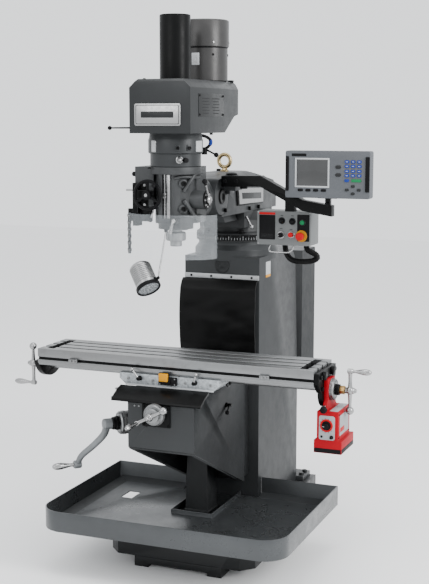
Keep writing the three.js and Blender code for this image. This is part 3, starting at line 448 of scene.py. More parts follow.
def tube(path, radii, sides=12, closed=False):
    """Rings of the given radii set along a path and bridged."""
    bm = bmesh.new()
    path = [Vector(p) for p in path]
    radii = radii if isinstance(radii, list) else [radii] * len(path)
    rings = []
    side = None
    for k, (point, radius) in enumerate(zip(path, radii)):
        before = path[k - 1] if k or closed else point
        after = path[(k + 1) % len(path)] if k + 1 < len(path) or closed else point
        way = (after - before).normalized()
        side = way.orthogonal().normalized() if side is None else (side - way * side.dot(way)).normalized()
        turn = Matrix((side, way.cross(side), way)).transposed().to_4x4()
        ring = bmesh.ops.create_circle(bm, segments=sides, radius=radius,
            matrix=Matrix.Translation(point) @ turn)
        rings.append(ring["verts"])
    pairs = list(zip(rings, rings[1:])) + ([(rings[-1], rings[0])] if closed else [])
    for a, b in pairs:
        for k in range(sides):
            bm.faces.new((a[k], a[(k + 1) % sides], b[(k + 1) % sides], b[k]))
    if not closed:
        bm.faces.new(rings[0])
        bm.faces.new(rings[-1])
    bmesh.ops.recalc_face_normals(bm, faces=bm.faces)
    return bm


def hex_bolt(radius, height):
    head = turned([(0, 0), (radius, 0), (radius, height - 0.8), (radius - 1, height), (0, height)], 6)
    return head


def socket_bolt(radius, height):
    well = radius * 0.5
    return turned(
        [(0, 0), (radius, 0), (radius, height - 0.8), (radius - 0.8, height), (well, height),
            (well, height * 0.45), (0, height * 0.4)], 18,
    )


def refined(node, edge=1.5, segments=2, angle=0.5):
    """A node's own shape, in millimetres, with flat faces joined and sharp edges rounded."""
    bm = bmesh.new()
    bm.from_mesh(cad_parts[node].data)
    bmesh.ops.scale(bm, vec=(1 / MM,) * 3, verts=bm.verts)
    bmesh.ops.remove_doubles(bm, verts=bm.verts, dist=0.01)
    bmesh.ops.dissolve_limit(bm, angle_limit=math.radians(1), verts=bm.verts, edges=bm.edges,
        use_dissolve_boundaries=False)
    return rounded(bm, edge, segments, angle)


class Piece:
    """One piece in the making: shapes join it, then done() hands it over."""

    def __init__(self, name, body, *finishes, slot=None):
        self.name, self.body, self.finishes, self.slot = name, body, finishes, slot
        self.bm = bmesh.new()

    def add(self, shape, finish=0, place=None, smooth=True):
        if place is not None:
            shape.transform(place)
        for face in shape.faces:
            face.material_index = finish
            face.smooth = smooth
        mesh = bpy.data.meshes.new("shape")
        shape.to_mesh(mesh)
        shape.free()
        self.bm.from_mesh(mesh)
        bpy.data.meshes.remove(mesh)
        return self

    def ball_lever(self, root, tip, stem=4, knob=9, stem_finish=0, knob_finish=1):
        self.add(tube([root, tip], [stem, stem * 0.8]), stem_finish)
        return self.add(placed(orb(knob), Matrix.Translation(Vector(tip))), knob_finish)

    def bolts(self, places, direction, radius, height, finish=0, kind=socket_bolt):
        for place in places:
            self.add(kind(radius, height), finish, along(place, direction))
        return self

    def done(self, *stands_for):
        bmesh.ops.scale(self.bm, vec=(MM,) * 3, verts=self.bm.verts)
        mesh = bpy.data.meshes.new(self.name)
        self.bm.to_mesh(mesh)
        self.bm.free()
        mesh.set_sharp_from_angle(angle=ROUND_CORNER)
        made = bpy.data.objects.new(self.name, mesh)
        bpy.context.scene.collection.objects.link(made)
        for finish in self.finishes:
            mesh.materials.append(finish.material)
        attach(made, self.body)
        if stands_for:
            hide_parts(*stands_for)
        return made


X, Y, Z = Vector((1, 0, 0)), Vector((0, 1, 0)), Vector((0, 0, 1))
FRONT = -Y
GUARD_BAR = 5  # radius of the hinge bar that the guard swings on


# ---------- conduit ----------
CONDUIT_ROUTE = [
    (478, -215, 1428.6), (478, -215, 1418), (484, -216, 1406), (502, -217, 1397), (522, -220, 1388), (528,
        -221, 1374),
    (510, -220, 1362), (478, -216, 1356), (442, -208, 1354), (406, -192, 1358), (378, -168, 1372),
    (360, -146, 1396), (354, -136, 1430), (354, -132, 1470), (360, -132, 1515), (374, -136, 1556),
    (394, -150, 1590), (410, -176, 1608), (420, -206, 1613), (420, -239.7, 1613),
]


def build_conduit():
    rough = smooth_path(CONDUIT_ROUTE, 24)
    pitch, path, carried = 2.4, [rough[0]], 0.0
    for a, b in zip(rough, rough[1:]):
        gap = (b - a).length
        while carried + gap >= pitch:
            a = a.lerp(b, (pitch - carried) / gap)
            path.append(a)
            gap, carried = (b - a).length, 0.0
        carried += gap
    radii = [13 if k % 3 else 11.2 for k in range(len(path))]
    piece = Piece("corrugated_conduit", "pendant", RUBBER, slot="black_rubber").add(tube(path, radii, 12))
    made = piece.done("conduit")
    length = sum((b - a).length for a, b in zip(path, path[1:])) * MM
    tuple(path[0] * MM)
    [tuple(p * MM) for p in path[::3]] + [tuple(path[-1] * MM)]


set_camera()
set_studio()
build_conduit()


# ---------- stand ----------
def build_base():
    Piece("base_casting", "stand", PAINT_DARK, slot="dark_paint").add(refined("base", 5, 3)).done("base")
    tower = Piece("screw_tower", "stand", PAINT_DARK, slot="dark_paint")
    tower.add(refined("screw_housing", 3, 3)).done("screw_housing")


def build_tray():
    tray = Piece("drip_tray", "stand", PAINT_TRAY, PAINT_LIGHT, slot="grey_paint")
    tray.add(refined("chip_tray", 1.6, 2))
    for side in (-1, 1):
        slope = [(side * 547.5, 205.5), (side * 492, 205.5), (side * 547.5, 215)]
        tray.add(slab(slope, -600, 39, 0, plane="XZ"), 1)
        rear = [(39.5, 205.5), (-14, 205.5), (39.5, 219)]
        ends = sorted((side * 190, side * 546))
        tray.add(slab(rear, *ends, 0, plane="YZ"), 1)
    tray.done("chip_tray")


def build_column():
    column = Piece("column_casting", "stand", PAINT, STRIP_STEEL, BLACK_PAINT, PAINT_DARK, WHITE_PLASTIC,
        ORANGE, slot="grey_paint")
    column.add(refined("column", 3, 3))
    column.add(block((-184, -7, 1231), (184, 0.5, 1253), 1), 1)
    column.bolts([(x, -7, 1242) for x in (-150, -50, 50, 150)], FRONT, 5.5, 2.5, 2)
    ring = turned([(37, 0), (37, 3), (34, 4.5), (31, 3), (29, 1.6), (12, 1.6), (9, 3.4), (0, 3.8), (0, 0)],
        48)
    column.add(ring, 3, along((1.5, 0.5, 1293), FRONT))
    for angle in (-40, 0, 40):
        place = along((1.5, 0.5, 1293), FRONT) @ Matrix.Rotation(math.radians(angle), 4, "Z")
        column.add(block((-2.5, 10, 0), (2.5, 30, 3.4), 0.8), 3, place)
    column.add(block((184.6, 88, 1246), (186, 150, 1306), 0.3), 4)
    column.add(block((184.7, 88, 1234), (186.1, 150, 1245), 0.3), 5)
    column.bolts([(x, 645, 150) for x in (-206, 206)], Z, 13, 11, 3, hex_bolt)
    column.bolts([(x, 590, 150) for x in (-206, 206)], Z, 13, 11, 3, hex_bolt)
    column.done("column")


def build_cabinet():
    cabinet = Piece("switch_cabinet", "stand", PAINT_LIGHT, BLACK_PAINT, slot="cast_grey")
    cabinet.add(refined("electrical_cabinet", 2.5)).done("electrical_cabinet")
    door = Piece("cabinet_door_panel", "cabinet_door", PAINT_LIGHT, BLACK_PLASTIC, CHROME, slot="cast_grey")
    door.add(refined("cabinet_door", 3))
    door.add(disc(15, 0, 9, 2), 1, along((170, 804, 1070), Y))
    door.add(block((-3, -10, 9), (3, 10, 14), 1.2), 2, along((170, 804, 1070), Y))
    for z in (880, 1260):
        door.add(disc(6, -22, 22, 1.5, 20), 2, along((-201, 797, z), Z))
    door.done("cabinet_door")


def build_apron():
    """The rubber sheet that hangs before the column ways, gathered in soft folds."""
    bm = bmesh.new()
    bmesh.ops.create_grid(bm, x_segments=44, y_segments=48, size=0.5)
    for v in bm.verts:
        across, down = v.co.x * 2, 0.5 - v.co.y
        swell = math.sin(math.pi * min(1, down * 1.15)) ** 0.7 if down < 0.87 else 0.0
        fold = noise.noise(Vector((across * 1.3, down * 4.2, 4.0)))
        crease = noise.noise(Vector((across * 2.6 + down * 3.0, down * 9.0, 9.0)))
        lean = 6 * math.sin(math.pi * down) * (0.5 - 0.5 * across)
        depth = -16 - 26 * min(1, down / 0.12) ** 0.6 - 6 * swell - 5.5 * fold - 2.2 * crease
        v.co = Vector((-4 + across * 185 - lean, max(-58, min(-14, depth)), 1231 - down * 381))
    bmesh.ops.recalc_face_normals(bm, faces=bm.faces)
    if bm.faces[0].normal.y > 0:
        bmesh.ops.reverse_faces(bm, faces=bm.faces)
    bmesh.ops.solidify(bm, geom=bm.faces[:], thickness=3)
    apron = Piece("way_apron", "stand", RUBBER, slot="black_rubber").add(bm).done("rear_way_cover")


# ---------- knee ----------
def dial(piece, place, radius, depth, marks, face=0, rim=1, ink=2):
    """A graduated collar: knurled edge, plain face and engraved marks."""
    piece.add(turned([(0, 0), (radius, 0), (radius, depth * 0.42), (radius * 0.97, depth * 0.45),
        (0, depth * 0.45)]), rim, place)
    slope = [(0, depth * 0.4), (radius * 0.97, depth * 0.46), (radius * 0.97, depth * 0.8),
        (radius * 0.88, depth), (0, depth)]
    piece.add(turned(slope, 48), face, place)
    for k in range(marks):
        long = 0.62 if k % 5 == 0 else 0.74
        mark = block((radius * long, -0.35, depth - 0.3), (radius * 0.86, 0.35, depth + 0.25), 0)
        piece.add(mark, ink, place @ Matrix.Rotation(math.tau * k / marks, 4, "Z"))


def grip(length, radius=13):
    """A pear-shaped hand grip that stands on its narrow end."""
    shares = [(0, 0), (0.52, 0), (0.56, 0.03), (0.47, 0.1), (0.55, 0.22), (0.78, 0.4), (0.96, 0.58),
        (1, 0.7), (0.93, 0.82), (0.72, 0.92), (0.4, 0.98), (0, 1)]
    return turned([(r * radius, h * length) for r, h in shares], 28)


def ball_crank(piece, hub, ball_end, grip_end, axis, finish=0):
    hub, ball_end, grip_end, axis = (Vector(v) for v in (hub, ball_end, grip_end, axis))
    profile = [(0, -20), (12, -20), (13, -18), (13, 16), (10, 19), (9, 24), (7, 27), (0, 28)]
    piece.add(turned(profile, 28), finish, along(hub, axis))
    piece.add(orb(17, 28), finish, Matrix.Translation(hub))
    for end, thick in ((ball_end, 7), (grip_end, 8)):
        path = [hub.lerp(end, k / 6) for k in range(7)]
        radii = [11, 9.5, 8.2, 7.4, thick * 0.95, thick, thick * 1.15]
        piece.add(tube(path, radii, 18), finish)
    piece.add(orb(17, 28), finish, Matrix.Translation(ball_end))
    boss = turned([(0, -11), (9, -11), (10.5, -9), (10.5, 9), (9, 11), (0, 11)], 24)
    piece.add(boss, finish, along(grip_end, axis))


def build_knee():
    knee = Piece("knee_casting", "knee", PAINT, BLACK_PAINT, STEEL_ROUND, slot="grey_paint")
    knee.add(refined("knee", 3, 3))
    knee.bolts([(-150, -487, 661)], (-1, -1, 0), 1, 1, 2)
    for x in (-120, -100):
        knee.bolts([(x, -685, 772)], FRONT, 4, 2, 2)
    knee.done("knee")
    plate = Piece("cross_feed_plate_panel", "knee", BLACK_PAINT, STEEL_ROUND, slot="black_paint")
    plate.add(refined("cross_feed_plate", 1.5))
    plate.bolts([(x, -693, z) for x in (-75, 37) for z in (699, 776)], FRONT, 5, 3.5)
    plate.done("cross_feed_plate")
    lock = Piece("knee_lock_handle", "knee_lock", BLACK_PAINT, BLACK_PLASTIC, slot="black_paint")
    lock.add(turned([(0, 0.4), (11, 0.4), (11, 8), (8, 10), (8, 24), (6, 27), (0, 27)], 24), 0,
        along((152, -330, 720), X))
    lock.ball_lever((170, -330, 720), (186, -400, 705), 5.5, 10)
    lock.done("knee_lock_lever")


SHAFT = Vector((-math.sqrt(0.5), -math.sqrt(0.5), 0))
SHAFT_ACROSS = Vector((-math.sqrt(0.5), math.sqrt(0.5), 0))
SHAFT_ROOT = Vector((-152, -487, 661))


def on_shaft(out, across=0.0, down=0.0):
    return SHAFT_ROOT + SHAFT * out + SHAFT_ACROSS * across - Z * down


def build_knee_crank():
    crank = Piece("knee_crank_arm", "elevating_crank", STEEL_ROUND, KNURL, BLACK_PAINT, CAST,
        slot="cast_grey")
    crank.add(disc(14, -60, 110, 1), 0, along(SHAFT_ROOT, SHAFT))
    dial(crank, along(on_shaft(108.4), SHAFT), 51.5, 28, 60)
    crank.add(turned([(0, 137), (28, 137), (31, 140), (31, 150), (28, 152), (28, 163), (25, 166), (0, 166)]),
        2, along(SHAFT_ROOT, SHAFT))
    crank.add(turned([(0, 165), (20, 165), (24, 170), (24, 200), (20, 206), (12, 208), (0, 208)]), 3,
        along(SHAFT_ROOT, SHAFT))
    knots = [(0, 0), (0.26, 0.04), (0.52, 0.4), (0.78, 0.88), (1, 1)]
    path = smooth_path([on_shaft(188 + 100 * out, 121 * share, 201 * share) for share, out in knots], 8)
    radii = [17 - 4.5 * k / (len(path) - 1) for k in range(len(path))]
    crank.add(tube(path, radii, 20), 3)
    eye = turned([(0, -17), (15, -17), (18, -13), (18, 13), (15, 17), (0, 17)], 28)
    crank.add(eye, 3, along(on_shaft(288, 121, 201), SHAFT))
    crank.done("elevating_crank")
    handle = Piece("knee_crank_grip", "elevating_grip", CHROME, slot="chrome_parts")
    handle.add(grip(97, 15.5), 0, along(on_shaft(305.4, 121, 201), SHAFT)).done("elevating_grip")


def build_cross_feed():
    drive = Piece("cross_feed_dial", "cross_drive", STEEL_ROUND, KNURL, BLACK_PAINT, slot="machined_steel")
    drive.add(disc(11, 180, 760, 0.5, 28), 0, along((-18, 0, 747), FRONT))
    drive.add(disc(29, 693.6, 701, 1), 1, along((-18, 0, 747), FRONT))
    dial(drive, along((-18, -700.5, 747), FRONT), 46.5, 25, 50)
    drive.add(turned([(0, 724), (27, 724), (30, 727), (30, 734), (24, 737), (0, 737)]), 0,
        along((-18, 0, 747), FRONT))
    drive.done("cross_screw")
    crank = Piece("cross_feed_crank", "cross_drive", CHROME, slot="chrome_parts")
    turn = math.atan2(34, 66)
    arm = Vector((math.cos(turn), 0, math.sin(turn)))
    hub = Vector((-18, -760, 747))
    ball_crank(crank, hub, hub + arm * 72, hub - arm * 60, FRONT)
    crank.done("cross_crank")
    handle = Piece("cross_feed_grip", "cross_grip", CHROME, slot="chrome_parts")
    handle.add(grip(95, 13), 0, along(hub - arm * 60 + FRONT * 11.4, FRONT)).done("cross_grip")


# ---------- saddle and table ----------
def build_saddle():
    saddle = Piece("saddle_block", "saddle", SCRAPED, WHITE_PLASTIC, PAINT_DARK, BLACK_PAINT, STEEL_ROUND,
        slot="machined_steel")
    saddle.add(refined("saddle", 2.5))
    saddle.add(block((-204, -602.2, 838), (204, -599, 845), 1), 1)
    saddle.add(turned([(0, 0), (30, 0), (30, 5), (26, 8), (22, 8), (20, 2), (0, 2)], 36), 2,
        along((217, -470, 866), X))
    saddle.bolts([(x, -600, 866) for x in (-190, -75, 75, 190)], FRONT, 6, 3, 4)
    saddle.add(tube([(-205, -606, 832), (-244, -618, 820)], 4, 12), 4)
    saddle.add(tube([(-225, -640, 800), (-252, -640, 786)], 4, 12), 4)
    saddle.done("saddle")
    cover = Piece("knee_top_cover", "saddle", RUBBER, BLACK_PAINT, slot="black_rubber")
    cover.add(refined("front_way_cover", 1.2, 3)).done("front_way_cover")
    switch = Piece("travel_switch", "saddle", BLACK_PLASTIC, ORANGE, STEEL_ROUND, slot="black_plastic")
    switch.add(refined("limit_switch", 1.5))
    switch.add(block((-35, -631, 871), (5, -614, 905), 3, 3), 1)
    switch.add(block((-38, -618, 868), (8, -612, 908), 2), 0)
    switch.bolts([(-36, -614, 858), (32, -614, 858), (32, -614, 882)], FRONT, 3.2, 1.6, 2)
    switch.done("limit_switch")
    for side, x, lean in (("left", -135, -27), ("right", 120, 13)):
        lever = Piece("table_lock_lever_" + side, "table_lock_" + side, CHROME, BLACK_PAINT,
            slot="chrome_parts")
        lever.add(turned([(0, 0.5), (11, 0.5), (11, 6), (8, 9), (8, 22), (5, 25), (0, 25)], 24), 1,
            along((x, -600, 872), FRONT))
        lever.ball_lever((x, -616, 872), (x + lean, -622, 912), 5, 8.5, 0, 0)
        lever.done("table_lock_" + side)


def build_table():
    table = Piece("work_table", "table", STEEL, BLACK_PAINT, STEEL_ROUND, SLOT_SHADE_STEEL, slot="machined_steel")
    table.add(refined("table", 1.1))
    # faces below the table top in the slot area take the near-black slot steel: painted shade in the T-slots
    # and troughs
    for face in table.bm.faces:
        middle = face.calc_center_median()
        if 930 < middle.z < 962.6 and abs(middle.y + 470) < 122 and abs(middle.x) < 629:
            face.material_index = 3
    # thin black strip inside the front T-groove: painted shade in the groove
    table.add(block((-634, -589.5, 915.2), (634, -587.6, 926.8), 0), 1)
    for x in (-455, 428):
        table.add(block((x - 21, -609, 913.5), (x + 21, -597.3, 928.5), 2, 3), 2)
        table.add(block((x - 8, -598, 916), (x + 8, -590, 926), 1), 2)
        table.bolts([(x - 8, -609, 921), (x + 9, -609, 921)], FRONT, 6, 7, 2, hex_bolt)
    table.done("table")
    left = Piece("screw_bracket_left", "table", BLACK_PAINT, STEEL_ROUND, slot="black_paint")
    left.add(refined("end_bracket_left", 3.5, 3))
    left.bolts([(-661.3, -470 + dy, 892) for dy in (-92, -56, 56, 92)], -X, 8, 7, 1)
    left.add(turned([(13, 0), (30, 0), (30, 7), (26, 10), (13, 10), (13, 0)], 36), 0,
        along((-661.3, -470, 866), -X))
    left.done("end_bracket_left")
    right = Piece("screw_bracket_right", "table", BLACK_PAINT, STEEL_ROUND, slot="black_paint")
    right.add(refined("end_bracket_right", 3.5, 3))
    places = [(655.3, -470 + dy, z) for dy, z in ((-98, 932), (98, 932), (-76, 880), (76, 880))]
    right.bolts(places, X, 9, 8)
    for dy in (-60, 60):
        right.add(disc(19, 0, 14, 3, 32), 0, along((655, -470 + dy, 932), X))
    right.done("end_bracket_right")


def build_power_feed():
    feed = Piece("power_feed_unit", "table", RED_PLASTIC, PANEL_GREY, BLACK_PLASTIC, CHROME, RED_KEY,
        slot="red_plastic")
    feed.add(refined("power_feed", 5, 3))
    feed.add(block((627.6, -562.4, 617.6), (745.4, -379.6, 641), 4, 3), 2)
    feed.add(slab(corners(650, 717, 675, 775, 9), -564.5, -561, 0.8, plane="XZ"), 1)
    knob_z = (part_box("feed_knob")[0].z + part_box("feed_knob")[1].z) / 2 / MM
    knob_x = (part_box("feed_knob")[0].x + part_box("feed_knob")[1].x) / 2 / MM
    feed.add(turned([(19.6, 0), (27, 0), (27, 2.5), (25, 4), (19.6, 4), (19.6, 0)], 40), 4,
        along((knob_x, -563.5, knob_z), FRONT))
    for k in range(11):
        turn = Matrix.Rotation(math.radians(-135 + 27 * k), 4, "Z")
        feed.add(block((-0.6, 28, 0.4), (0.6, 31.5, 1.4), 0), 2, along((knob_x, -564, knob_z), FRONT) @ turn)
    feed.add(turned([(0, 0), (8, 0), (8, 3), (6, 4), (5.5, 13), (0, 14)], 24), 2,
        along((704, -564, 688), FRONT))
    feed.add(disc(5, 0, 3, 1, 20), 2, along((662, -564, 688), FRONT))
    feed.add(block((729.5, -540, 690), (731.4, -412, 774), 0.5), 1)
    feed.add(block((729.6, -534, 704), (732, -476, 722), 0.5), 4)
    feed.add(slab([(-548, 791.4), (-400, 791.4), (-400, 793), (-548, 793)], 690, 724, 0.3, plane="YZ"), 1)
    feed.bolts([(730, y, z) for y in (-550, -402) for z in (684, 780)], X, 4, 2, 2)
    feed.add(tube([(705, -392, 700), (705, -379, 700)], 9, 20), 2)
    feed.done("power_feed")
    lever = Piece("feed_direction_lever", "feed_lever", BLACK_PLASTIC, CHROME, slot="black_plastic")
    lever.add(tube([(665, -545.5, 808), (665, -566, 808)], 7, 20), 1)
    lever.add(tube([(665, -562, 808), (674, -584, 806.4)], [6, 5], 16), 1)
    lever.add(orb(15, 28), 0, Matrix.Translation((677, -592, 806))).done("feed_lever")
    knob = Piece("feed_speed_knob", "feed_knob", BLACK_PLASTIC, WHITE_PLASTIC, slot="black_plastic")
    place = along((knob_x, -562.6, knob_z), FRONT)
    knob.add(turned([(0, 0), (18.8, 0), (19, 3), (14.5, 5.5), (13.5, 21), (11.5, 23), (0, 23.2)], 32), 0,
        place)
    knob.add(block((-0.8, 3, 22.8), (0.8, 12, 23.6), 0), 1, place).done("feed_knob")


def build_table_screw():
    screw = Piece("table_screw_dial", "table_drive", STEEL_ROUND, KNURL, BLACK_PAINT, BRASS,
        slot="machined_steel")
    screw.add(disc(12, -714, 731, 0.5, 28), 0, along((0, -470, 866), X))
    dial(screw, along((674.6, -470, 866), X), 44.8, 17.4, 60)
    screw.add(turned([(0, 690), (22, 690), (23, 692), (23, 708), (21, 710), (0, 710)]), 2,
        along((0, -470, 866), X))
    screw.add(turned([(0, 709), (17, 709), (18, 711), (18, 730), (16, 731.4), (0, 731.4)], 8), 3,
        along((0, -470, 866), X))
    screw.add(turned([(0, -714), (17, -714), (22, -708), (22, -674), (0, -674)]), 2, along((0, -470, 866), X))
    screw.done("lead_screw")
    for side, x, ball, hand, reach in (("left", -733, 78, -90, 88), ("right", 752, -84, 81, 78)):
        crank = Piece("table_crank_" + side, "table_drive", CHROME, slot="chrome_parts")
        out = X if x > 0 else -X
        ball_crank(crank, (x, -470, 866), (x, -470, 866 + ball), (x, -470, 866 + hand), out)
        crank.done(side + "_crank")
        handle = Piece("table_grip_" + side, side + "_grip", CHROME, slot="chrome_parts")
        handle.add(grip(reach, 13), 0, along((x + out.x * 11.2, -470, 866 + hand), out)).done(side + "_grip")


# ---------- turret, ram and pendant ----------
def build_turret():
    turret = Piece("turret_casting", "turret", PAINT_DARK, BLACK_PAINT, WHITE_PLASTIC, CHROME,
        slot="dark_paint")
    turret.add(refined("turret", 2, 2, 0.35))
    centre = Matrix.Translation((0, 190, 0))
    turret.add(turned([(186, 1408), (189.9, 1408), (189.9, 1434), (186, 1434), (186, 1408)], 72), 1, centre)
    for k in range(90):
        tall = 1428 if k % 5 == 0 else 1421
        turret.add(block((189.2, -0.7, 1411), (190.4, 0.7, tall), 0), 2,
            centre @ Matrix.Rotation(math.tau * k / 90, 4, "Z"))
    for angle in (-118, -62, 62, 118):
        place = centre @ Matrix.Rotation(math.radians(angle), 4, "Z")
        turret.add(hex_bolt(13, 14), 1, place @ Matrix.Translation((180, 0, 1444)))
        turret.add(disc(17, 1440, 1446, 1), 1, place @ Matrix.Translation((180, 0, 0)))
    turret.ball_lever((112, 22, 1520), (150, -10, 1478), 5, 8, 3, 3)
    turret.ball_lever((112, 150, 1520), (160, 120, 1478), 5, 8, 3, 3)
    turret.done("turret")


def build_ram():
    ram = Piece("ram_casting", "ram", PAINT_LIGHT, BLACK_PAINT, SILVER, PAINT_DARK, slot="grey_paint")
    ram.add(refined("ram", 3, 3))
    ram.add(slab([(-94, 1577), (-112, 1661), (232, 1645), (232, 1570)], 109, 117, 3, plane="YZ"), 1)
    ram.add(slab([(-80, 1583), (-96, 1658), (226, 1642), (226, 1576)], 116, 121, 4, 3, plane="YZ"), 2)
    ram.add(slab([(-52, 1606), (-58, 1634), (194, 1622), (194, 1594)], 120.8, 121.8, 0.4, plane="YZ"), 3)
    for y in (-222, -182):
        ram.add(turned([(0, 0), (13, 0), (13, 3), (10, 4), (8, 2), (0, 2)], 28), 3,
            along((109.5, y, 1646), X))
    ram.bolts([(109, -240, 1568), (109, 60, 1556), (109, 180, 1556)], X, 10, 12, 1, hex_bolt)
    ram.add(disc(11, 0, 13, 2), 1, Matrix.Translation((-40, 60, 1722)))
    ram.add(disc(9, 0, 16, 2), 1, Matrix.Translation((-55, -170, 1706)))
    ram.done("ram")
    eye = Piece("lifting_eye", "ram", GILT, slot="gilt_steel")
    ring = [(28.5 * math.cos(a), 33, 1773 + 28.5 * math.sin(a))
            for a in (math.tau * k / 48 for k in range(48))]
    eye.add(tube(ring, 9, 20, closed=True))
    eye.add(turned([(0, 1725.4), (19, 1725.4), (19, 1730), (14, 1733), (10, 1739), (10, 1747), (0, 1747)],
        32), 0, Matrix.Translation((0, 33, 0)))
    eye.done("eye_bolt")
    adapter = Piece("nod_knuckle", "adapter", PAINT_LIGHT, BLACK_PAINT, slot="grey_paint")
    adapter.add(refined("ram_adapter", 3, 3))
    adapter.add(turned([(0, 0), (34, 0), (34, 4), (30, 6), (16, 6), (14, 2), (0, 2)], 36), 1,
        along((109.8, -277, 1630), X))
    adapter.done("ram_adapter")


def build_arm():
    arm = Piece("pendant_arm", "pendant", BLACK_PAINT, BLACK_PLASTIC, slot="black_paint")
    arm.add(refined("arm", 5, 3))
    arm.add(turned([(0, 0), (24, 0), (24, 5), (14, 9), (0, 10)], 32), 1,
        Matrix.Translation((150, -262, 1725)))
    arm.bolts([(x, -322, z) for x, z in ((144, 1700), (196, 1700))], FRONT, 8, 6, 1)
    arm.bolts([(601, -323, 1612)], FRONT, 9, 7, 1, hex_bolt)
    arm.done("arm")


def build_readout():
    finishes = (GREY_PLASTIC, BLACK_PLASTIC, SCREEN, WHITE_PLASTIC, BLUE_KEY, GREEN_KEY, PAINT_DARK)
    unit = Piece("readout_unit", "pendant", *finishes, slot="light_plastic")
    unit.add(refined("display", 5, 3))

    def pad(x, z, width, height, finish, rise=3.0, corner=None):
        corner = min(width, height) * 0.35 if corner is None else corner
        shape = corners(x - width / 2, x + width / 2, z - height / 2, z + height / 2, corner)
        unit.add(slab(shape, -380 - rise, -379, min(1.0, rise * 0.4), plane="XZ"), finish)

    unit.add(slab(corners(484, 617, 1691, 1798, 3), -378.9, -377.6, 0.2, plane="XZ"), 2)
    for low, high in (((477, 1684), (624, 1690.5)), ((477, 1798.5), (624, 1805)),
        ((477, 1690), (483.5, 1799)), ((617.5, 1690), (624, 1799))):
        unit.add(block((low[0], -382, low[1]), (high[0], -379, high[1]), 0.8), 3)
    for x in (501, 534, 567, 600):
        pad(x, 1673, 22, 11, 1)
    for z in (1769, 1737.5):
        pad(661.5, z, 24, 14, 6, corner=6.9)
    for z in (1791, 1773, 1753, 1735):
        for x in (698.4, 724.1, 749.8):
            pad(x, z, 19, 12, 4)
            pad(x, z, 9, 2.4, 3, 3.3, 0.6)
    pad(698.4, 1715, 19, 12, 4)
    pad(738.6, 1715, 42, 12, 5)
    for x, z in ((724, 1692), (699, 1677), (749, 1677), (724, 1662)):
        pad(x, z, 16, 11, 6, corner=4)
    pad(494, 1817, 62, 11, 1, 1.2, 1)
    pad(443, 1740, 14, 142, 1, 4, 3)
    pad(784.5, 1740, 17, 142, 1, 4, 3)
    unit.bolts([(x, -324.4, z) for x in (455, 774) for z in (1660, 1815)], Y, 4, 2, 1)
    for k in range(7):
        unit.add(block((470 + k * 9, -325, 1740), (473 + k * 9, -323.4, 1800), 0.6), 1)
    unit.done("display")


def build_control_box():
    box = Piece("control_station", "pendant", BOX_GREY, BLACK_PLASTIC, RED_KEY, YELLOW, CHROME, GREY_PLASTIC,
        PAINT_DARK, slot="light_plastic")
    box.add(refined("control_box", 4, 3))
    box.add(slab(corners(284, 356, 1452, 1557, 3), -277.6, -275.5, 0.5, plane="XZ"), 1)
    box.add(slab(corners(284, 356, 1559, 1568, 2), -277.6, -275.5, 0.5, plane="XZ"), 2)
    for z in (1474, 1468, 1462):
        box.add(block((292, -278, z - 1), (346, -277.4, z + 1), 0), 6)
    box.add(slab(corners(455, 509, 1448, 1562, 3), -277.4, -275.5, 0.5, plane="XZ"), 1)

    def collar(x, z, inner, outer, rise, finish):
        ring = [(inner, 0), (outer, 0), (outer, rise * 0.7), (outer - 1, rise), (inner, rise), (inner, 0)]
        box.add(turned(ring, 36), finish, along((x, -276.2, z), FRONT))

    collar(474, 1471, 13, 25, 3.5, 3)
    collar(479, 1529, 8, 14, 4, 6)
    collar(428, 1475, 8.4, 15, 4, 4)
    collar(383, 1473, 8.4, 17, 5, 4)
    for x, z in ((386, 1534), (433, 1532)):
        collar(x, z, 8, 15, 1.5, 6)
        box.add(turned([(0, 0), (12, 0), (12, 4), (10, 6), (9.4, 17), (0, 18)], 28), 1,
            along((x, -276.2, z), FRONT))
    for x, z in ((386, 1556), (433, 1556), (383, 1500), (428, 1497)):
        box.add(block((x - 6, -277, z - 1.2), (x + 6, -275.8, z + 1.2), 0.2), 6)
    box.bolts([(x, -276, z) for x in (279, 511) for z in (1434, 1569)], FRONT, 3, 1.6, 4)
    hoop = [(330, -262, 1430), (327, -270, 1412), (332, -275, 1401), (346, -276, 1398), (405, -276, 1398),
        (420, -275, 1401), (432, -270, 1412), (437, -262, 1430)]
    box.add(tube(smooth_path(hoop, 6), 3.6, 14), 4)
    box.add(turned([(0, 0), (18, 0), (18, -8), (16, -12), (0, -12)], 28), 1,
        Matrix.Translation((478, -215, 1441)))
    box.add(disc(17, -4, 10, 1.5, 28), 1, Matrix.Translation((206, -262, 1669)))
    box.done("control_box")
    caps = {
        "e_stop": (474, 1471, 17, 34, RED_KEY), "start_button": (479, 1529, 10, 14, GREEN_KEY),
        "stop_button": (428, 1475, 11, 16, RED_KEY), "selector_knob": (383, 1473, 11, 20, BLACK_PLASTIC),
    }
    for name, (x, z, radius, reach, finish) in caps.items():
        cap = Piece(name + "_cap", name, finish, WHITE_PLASTIC, slot=None)
        place = along((x, -276, z), FRONT)
        stem, head = radius * 0.7, reach * 0.5
        cap.add(turned([(0, -6), (stem, -6), (stem, head), (0, head)], 28), 0, place)
        dome = [(0, head), (radius * 0.85, head), (radius, head + 2), (radius, reach - 4),
            (radius * 0.86, reach - 1), (radius * 0.4, reach), (0, reach)]
        cap.add(turned(dome, 36), 0, place)
        if name == "selector_knob":
            cap.add(block((-3, -10.5, reach - 3), (3, 10.5, reach + 3), 1.2), 0, place)
            cap.add(block((-0.8, 2, reach + 2.6), (0.8, 9.5, reach + 3.4), 0), 1, place)
        cap.done(name)


